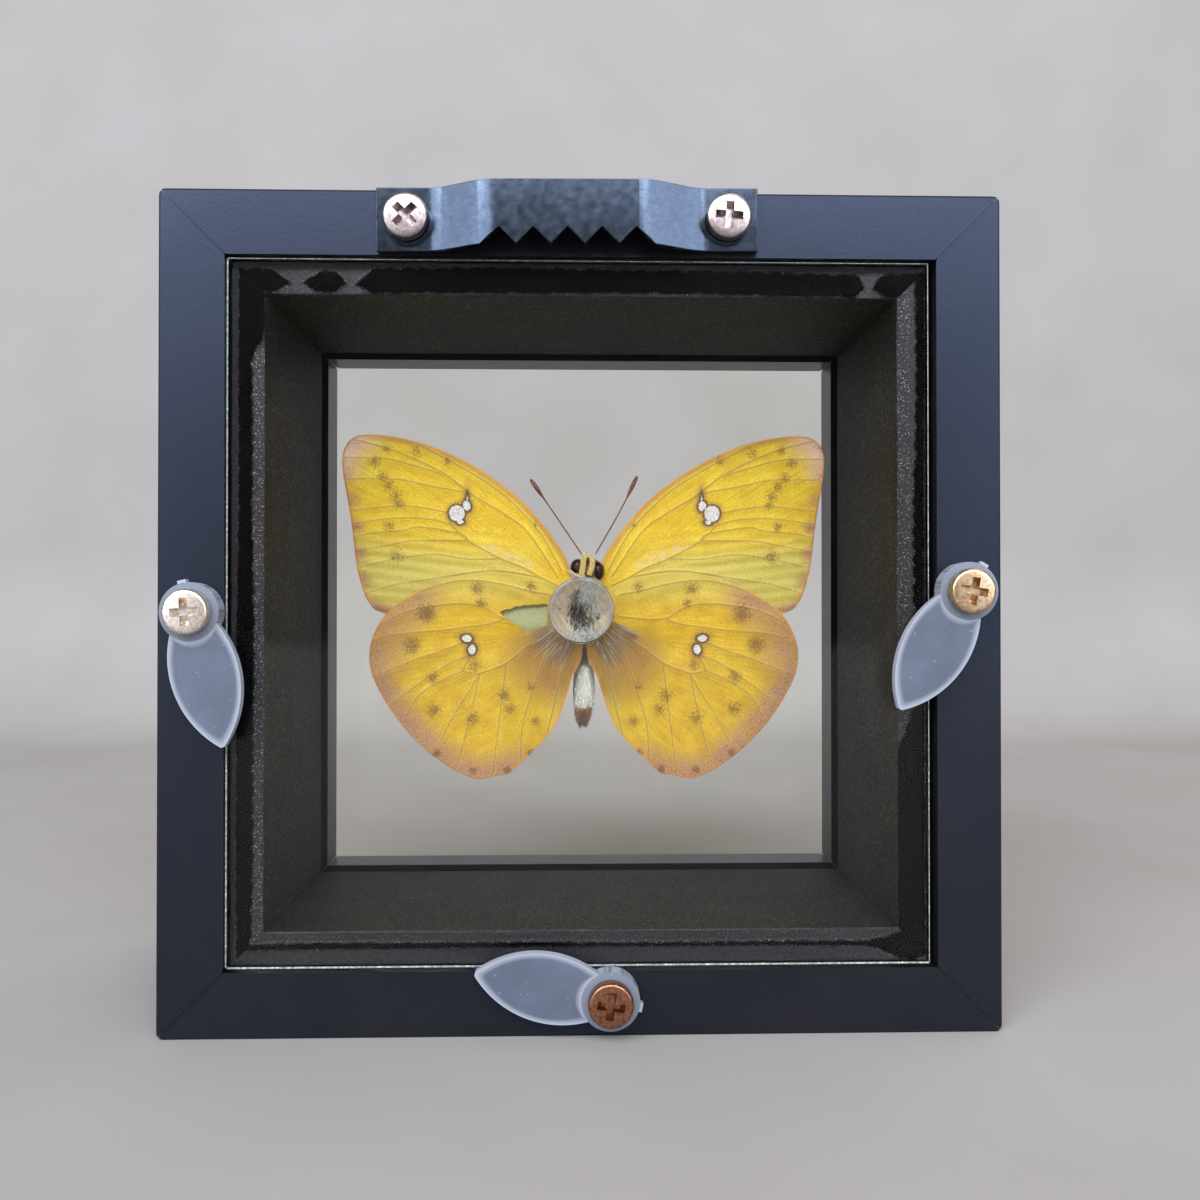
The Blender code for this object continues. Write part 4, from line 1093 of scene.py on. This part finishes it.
def growStrands(name, roots, leans, lengths, widths, colours, droop=0.25, flat=1.0):
    # Each strand is a three-sided taper in four steps to its tip; flat below 1 squeezes it into a scale.
    steps, corners = strandSet["steps"], strandSet["corners"]
    count = len(roots)
    leans = leans / np.linalg.norm(leans, axis=1)[:, None]
    helper = np.where(np.abs(leans[:, 1:2]) < 0.9, [[0.0, 1.0, 0.0]], [[1.0, 0.0, 0.0]])
    across = np.cross(leans, helper)
    across /= np.linalg.norm(across, axis=1)[:, None]
    over = np.cross(leans, across)
    sag = np.array([0, 0, -1.0])
    points = []
    for step in range(steps):
        share = step / steps
        centre = roots + leans * (lengths * share)[:, None] + sag * (lengths * droop * share ** 2)[:, None]
        size = (widths * (1 - strandSet["taper"] * share))[:, None]
        for corner in range(corners):
            angle = 2 * math.pi * corner / corners
            points.append(centre + size * (across * math.cos(angle) + over * (flat * math.sin(angle))))
    points.append(roots + leans * lengths[:, None] + sag * (lengths * droop)[:, None])
    points = np.stack(points, axis=1)
    tip = steps * corners
    faces = [tuple(reversed(range(corners)))]
    for first in range(0, tip - corners, corners):
        for corner in range(corners):
            after = (corner + 1) % corners
            faces.append((first + corner, first + after, first + corners + after, first + corners + corner))
    last = tip - corners
    faces += [(last + corner, last + (corner + 1) % corners, tip) for corner in range(corners)]
    starts = range(0, count * (tip + 1), tip + 1)
    allFaces = [tuple(start + index for index in face) for start in starts for face in faces]
    piece = meshFrom(name, points.reshape(-1, 3), allFaces)
    setTint(piece.data, np.repeat(colours, tip + 1, axis=0))
    faceOutwards(piece)
    bpy.ops.object.shade_smooth()
    return piece


def bodyPoint(up, angle):
    # Points on the body's skin with their outward directions; angle 0 is +X, 90 degrees the hanger side.
    stations = np.array(bodyStations)[::-1]
    shift, deep, halfWide, halfThick = (np.interp(up, stations[:, 0], stations[:, column])
                                        for column in range(1, 5))
    point = placeAll(bodyAxis + shift + halfWide * np.cos(angle), deep - halfThick * np.sin(angle), up)
    outward = np.column_stack([np.cos(angle) * halfThick, np.sin(angle) * halfWide, np.zeros(len(up))])
    return point, outward / np.linalg.norm(outward, axis=1)[:, None]


def buildBody():
    deselectAll()
    line = smoothLine(bodyStations, 6)
    sides = 64
    angles = np.arange(sides) / sides * 2 * math.pi
    rings = []
    for up, shift, deep, halfWide, halfThick in line:
        lump = 1 + 0.05 * np.sin(angles * 5 + up * 3) * np.sin(up * 5.0)
        rings += [place(bodyAxis + shift + halfWide * k * math.cos(a), deep - halfThick * k * math.sin(a), up)
                  for a, k in zip(angles, lump)]
    faces = []
    for row in range(len(line) - 1):
        for column in range(sides):
            after = (column + 1) % sides
            faces.append((row * sides + column, row * sides + after, (row + 1) * sides + after,
                          (row + 1) * sides + column))
    faces.append(tuple(range(sides)))
    faces.append(tuple(range((len(line) - 1) * sides, len(line) * sides)))
    body = meshFrom("body", rings, faces)
    setTint(body.data, np.repeat(tintAt(line[:, 0]), sides, axis=0))
    faceOutwards(body)
    bpy.ops.object.shade_smooth()
    finishPiece(body, "butterfly_body_skin", finishes["body_hair"], "frame", ["butterfly_body"])


def growDown(name, low, high, count, length, width, lean, seed, flat=1.0, pale=0.0):
    rng = np.random.default_rng(seed)
    up = rng.uniform(low, high, count)
    angle = rng.uniform(0, 2 * math.pi, count)
    roots, outward = bodyPoint(up, angle)
    leans = outward + np.array([0, 0, lean]) + rng.normal(0, 0.25, (count, 3))
    colours = tintAt(up) * rng.uniform(0.7, 1.25, count)[:, None]
    cream = rng.uniform(0.88, 1.0, count)[:, None] * np.array([[1, 0.98, 0.88]])
    colours = colours * (1 - pale) + pale * cream
    piece = growStrands(name, roots, leans, rng.uniform(0.6, 1.2, count) * length * mm,
                        rng.uniform(0.7, 1.2, count) * width * mm, np.clip(colours, 0, 1), flat=flat)
    finishPiece(piece, name, finishes["body_hair"], "frame")


buildBody()
# Name, lowest and highest root, strands, length, half width, lean upwards, seed.
growDown("thorax_down", -4.5, 5.4, 2600, 1.1, 0.045, -0.9, 11)
growDown("head_down", 6.2, 8.6, 260, 0.5, 0.035, 0.5, 12)
growDown("waist_down", -9.6, -4.6, 420, 0.45, 0.045, -1.6, 13, pale=0.3)
growDown("abdomen_scales", -16.2, -9.4, 1100, 0.5, 0.17, -2.6, 14, flat=0.2, pale=1.0)
growDown("tail_tuft", -19.2, -16.2, 420, 0.9, 0.05, -2.4, 15)

rootHairSet = {"count": 420, "from": 4.6, "to": 8.5, "lift": 0.16, "tint": "#9c6c34", "seed": 17}


def buildRootHair():
    # Long fine hairs that fan out from the body over the hindwings' roots.
    r = rootHairSet
    rng = np.random.default_rng(r["seed"])
    count = r["count"]
    side = np.where(rng.uniform(0, 1, count) < 0.5, -1, 1)
    angle = rng.uniform(math.radians(-72), math.radians(-22), count)
    reach = rng.uniform(r["from"], r["to"], count)
    roots = placeAll(bodyAxis + side * reach * np.cos(angle), hindwing["deep"] - r["lift"],
                     reach * np.sin(angle) + 0.4)
    leans = np.column_stack([side * np.cos(angle + rng.normal(0, 0.06, count)),
                             rng.uniform(-0.01, 0.03, count), np.sin(angle)])
    pale = rng.uniform(0, 1, count)[:, None] ** 2
    colours = pale * np.array([[0.85, 0.8, 0.68]]) + (1 - pale) * np.array([fromHex(r["tint"])[:3]])
    hair = growStrands("root_hair", roots, leans, rng.uniform(1.5, 4.5, count) * mm,
                       rng.uniform(0.02, 0.05, count) * mm, colours, droop=0.0)
    finishPiece(hair, "hindwing_root_hair", finishes["body_hair"], "frame")


buildRootHair()

# Flattened down under the post's end: across and up from the post's middle, spread both ways, strand length,
# strands and colour.
tufts = [
    (-1.03, 3.0, 0.5, 0.85, 1.6, 240, "#fffdf4"), (0.3, 1.9, 0.5, 0.7, 0.9, 60, "#7c7a66"),
    (-1.1, 1.0, 0.35, 0.35, 0.6, 45, "#9a8c34"), (0.35, -0.3, 0.7, 0.95, 1.0, 220, "#0f0d0e"),
    (-0.2, -1.6, 0.6, 0.5, 0.8, 70, "#2b2624"), (-2.0, 0.1, 0.45, 0.6, 0.9, 150, "#fff8e2"),
    (-2.5, -0.8, 0.22, 0.22, 0.5, 26, "#2c2833"), (-1.4, -1.3, 0.35, 0.3, 0.6, 40, "#8c7f3c"),
    (0.7, -1.8, 0.3, 0.3, 0.5, 24, "#e8e4da"), (-0.8, -3.4, 1.3, 0.7, 0.7, 300, "#fffdf4"),
    (-1.0, -3.9, 0.8, 0.3, 0.5, 30, "#3b3430"), (0.4, 0.7, 0.3, 0.4, 0.6, 30, "#c9c6ba"),
]
# The pad tints are lifted towards white, paler than the taupe glue, as painted light that makes up for the
# light the post holds back.
padSet = {"radius": 5.0, "near": 19.72, "far": 19.9, "middleTint": "#fae2ba", "rimTint": "#ecdcc2",
          "strand": 0.075, "strandsIn": 0.14, "seed": 21}


def buildPostPad():
    # A square sheet drawn round into a disc and tinted where the tufts lie.
    p = padSet
    pad, u, v = addGrid(150, 150)
    u, v = u * 2, v * 2
    across, up = p["radius"] * u * np.sqrt(1 - v * v / 2), p["radius"] * v * np.sqrt(1 - u * u / 2)
    reach = np.hypot(across, up) / p["radius"]
    ruffle = 0.5 * np.sin(across * 5.1 + 2 * np.sin(up * 2.3))
    ruffle = ruffle + 0.5 * np.sin(up * 4.3 + 2.4 * np.sin(across * 3.1))
    base, rim = (np.array(fromHex(tint)[:3]) for tint in (p["middleTint"], p["rimTint"]))
    colours = base + softStep(reach, 0.55, 1.0)[:, None] * (rim - base)
    colours = colours * (1 - 0.12 * softStep(ruffle, -0.5, 1))[:, None]
    for tuftAcross, tuftUp, wide, tall, length, count, tint in tufts:
        reach = np.hypot((across - tuftAcross) / wide, (up - tuftUp + 0.3 * length) / (tall + 0.3 * length))
        weight = softStep(0.5 + 0.35 * ruffle - (reach - 1.15), 0.2, 0.8)
        colours = colours + weight[:, None] * (np.array(fromHex(tint)[:3]) - colours)
    points = placeAll(postSet["across"] + across, p["near"] - 0.06 * ruffle, postSet["up"] + up)
    pad.data.vertices.foreach_set("co", points.ravel())
    setTint(pad.data, colours)
    addModifier(pad, "SOLIDIFY", thickness=(p["far"] - p["near"]) * mm, offset=0)
    faceOutwards(pad)
    bpy.ops.object.shade_smooth()
    finishPiece(pad, "post_glue_pad", finishes["glue_pad"], "frame")


def buildTufts():
    p = padSet
    rng = np.random.default_rng(p["seed"])
    parts = []
    for across, up, wide, tall, length, count, tint in tufts:
        at = np.column_stack([rng.normal(0, wide, count), np.zeros(count), rng.normal(0, tall, count)]) * mm
        middle = place(postSet["across"] + across, p["near"] - p["strandsIn"], postSet["up"] + up)
        angle = rng.normal(-math.pi / 2, 0.5, count)
        leans = np.column_stack([np.cos(angle), rng.uniform(0, 0.05, count), np.sin(angle)])
        colours = np.array([fromHex(tint)[:3]]) * rng.uniform(0.7, 1.25, count)[:, None]
        lengths = rng.uniform(0.5, 1.2, count) * length * mm
        widths = rng.uniform(0.6, 1.4, count) * p["strand"] * mm
        parts.append(growStrands("tuft", at + np.array(middle), leans, lengths, widths,
                                 np.clip(colours, 0, 1), droop=0.0, flat=0.5))
    pick(*parts)
    bpy.ops.object.join()
    finishPiece(bpy.context.object, "post_end_tufts", finishes["body_hair"], "frame")


buildPostPad()
buildTufts()

# Head: two eyes (across, up, half width, half height) and the paired palps between them, then a pale ruff.
headSet = {"eyes": {"eye_right": (0.75, 7.7, 1.25, 1.45), "eye_left": (-2.75, 7.15, 1.05, 1.6)},
           "eyeDeep": 23.4, "eyeHalf": 1.5, "eyeLean": 12}
palpSet = {"palps": {"palp_right": [(0.05, 6.3), (-0.15, 7.6), (-0.35, 8.9), (-0.65, 9.9)],
                     "palp_left": [(-1.25, 6.3), (-1.65, 7.4), (-1.75, 8.5), (-1.45, 9.6)]},
           "deep": 21.7, "dip": 0.5, "thick": 0.36, "taper": 0.45, "hairs": 420, "hair": 0.035,
           "core": "#f0c75a", "tint": "#ffe28a", "seed": 31}
ruffSet = {"count": 150, "deep": 21.8, "hair": 0.05, "tint": "#f3e3b4", "seed": 41}
antennaSet = {"deep": 24.0, "thick": 0.13, "clubFrom": 0.72, "club": 2.0}
antennae = {
    "antenna_right": [(0.5, 9.9), (3.6, 14.5), (6.6, 18.9), (9.3, 22.8)],
    "antenna_left": [(-1.9, 10.1), (-4.5, 14.6), (-6.9, 19.0), (-9.0, 23.4)],
}


def sweepTube(name, centres, radii, thick, resolution):
    curve = bpy.data.curves.new(name, "CURVE")
    curve.dimensions = "3D"
    curve.bevel_depth = thick * mm
    curve.bevel_resolution = resolution
    curve.use_fill_caps = True
    spline = curve.splines.new("POLY")
    spline.points.add(len(centres) - 1)
    for point, centre, radius in zip(spline.points, centres, radii):
        point.co = (*centre, 1)
        point.radius = radius
    tube = bpy.data.objects.new(name, curve)
    bpy.context.collection.objects.link(tube)
    pick(tube)
    bpy.ops.object.convert(target="MESH")
    bpy.ops.object.shade_smooth()
    return bpy.context.object


def buildEye(name, across, up, wide, tall):
    h = headSet
    deselectAll()
    bpy.ops.mesh.primitive_uv_sphere_add(segments=48, ring_count=24, radius=1,
                                         location=place(across, h["eyeDeep"], up))
    eye = bpy.context.object
    eye.scale = (wide * mm, h["eyeHalf"] * mm, tall * mm)
    eye.rotation_euler.y = math.radians(-h["eyeLean"] if across > 0 else h["eyeLean"])
    bpy.ops.object.transform_apply(location=True, rotation=True, scale=True)
    bpy.ops.object.shade_smooth()
    finishPiece(eye, name, finishes["eye"], "frame")


def buildPalp(name, route, rng):
    # A tapering rod with a coat of short hairs.
    p = palpSet
    line = smoothLine(route, 8)
    shares = np.arange(len(line)) / (len(line) - 1)
    centres = [place(across, p["deep"] + p["dip"] * share, up) for (across, up), share in zip(line, shares)]
    core = sweepTube(name, centres, 1.0 - p["taper"] * shares ** 3, p["thick"], 4)
    setTint(core.data, np.repeat([fromHex(p["core"])[:3]], len(core.data.vertices), axis=0))
    count = p["hairs"]
    share = rng.uniform(0, 1, count)
    angle = rng.uniform(0, 2 * math.pi, count)
    at = share * (len(line) - 1)
    across, up = (np.interp(at, np.arange(len(line)), line[:, axis]) for axis in (0, 1))
    size = p["thick"] * (1.0 - p["taper"] * share ** 3)
    roots = placeAll(across + size * np.cos(angle), p["deep"] + p["dip"] * share - size * np.sin(angle), up)
    leans = np.column_stack([np.cos(angle) * 0.5, np.sin(angle) * 0.5, np.full(count, 1.4)])
    colours = np.array([fromHex(p["tint"])[:3]]) * rng.uniform(0.8, 1.15, count)[:, None]
    fuzz = growStrands(name + "_fuzz", roots, leans, rng.uniform(0.3, 0.6, count) * mm,
                       np.full(count, p["hair"] * mm), np.clip(colours, 0, 1), droop=0.0)
    pick(core, fuzz)
    bpy.ops.object.join()
    finishPiece(bpy.context.object, name, finishes["body_hair"], "frame")


def buildRuff():
    # A thin pale ruff below the right eye.
    r = ruffSet
    rng = np.random.default_rng(r["seed"])
    count = r["count"]
    share = rng.uniform(0, 1, count)
    roots = placeAll(-0.7 + 2.7 * share, r["deep"], 6.05 + 0.9 * share ** 2 + rng.normal(0, 0.08, count))
    leans = np.column_stack([rng.normal(0.9, 0.3, count), rng.uniform(0, 0.4, count),
                             rng.normal(0.2, 0.25, count)])
    colours = np.array([fromHex(r["tint"])[:3]]) * rng.uniform(0.8, 1.1, count)[:, None]
    ruff = growStrands("ruff", roots, leans, rng.uniform(0.4, 0.8, count) * mm,
                       np.full(count, r["hair"] * mm), np.clip(colours, 0, 1), droop=0.0)
    finishPiece(ruff, "collar_ruff", finishes["body_hair"], "frame")


def buildAntenna(name, route):
    a = antennaSet
    line = smoothLine(route, 12)
    shares = np.arange(len(line)) / (len(line) - 1)
    club = np.maximum(0.0, (shares - a["clubFrom"]) / (1 - a["clubFrom"]))
    radii = 1 + a["club"] * np.sin(0.85 * math.pi * club)
    centres = [place(bodyAxis + across, a["deep"], up) for across, up in line]
    piece = sweepTube(name + "_clubbed", centres, radii, a["thick"], 3)
    finishPiece(piece, name + "_clubbed", finishes["antenna_brown"], "frame", [name])


for name, (across, up, wide, tall) in headSet["eyes"].items():
    buildEye(name, across, up, wide, tall)
palpDraws = np.random.default_rng(palpSet["seed"])
for name, route in palpSet["palps"].items():
    buildPalp(name, route, palpDraws)
buildRuff()
for name, route in antennae.items():
    buildAntenna(name, route)
print("body, head and antennae made")
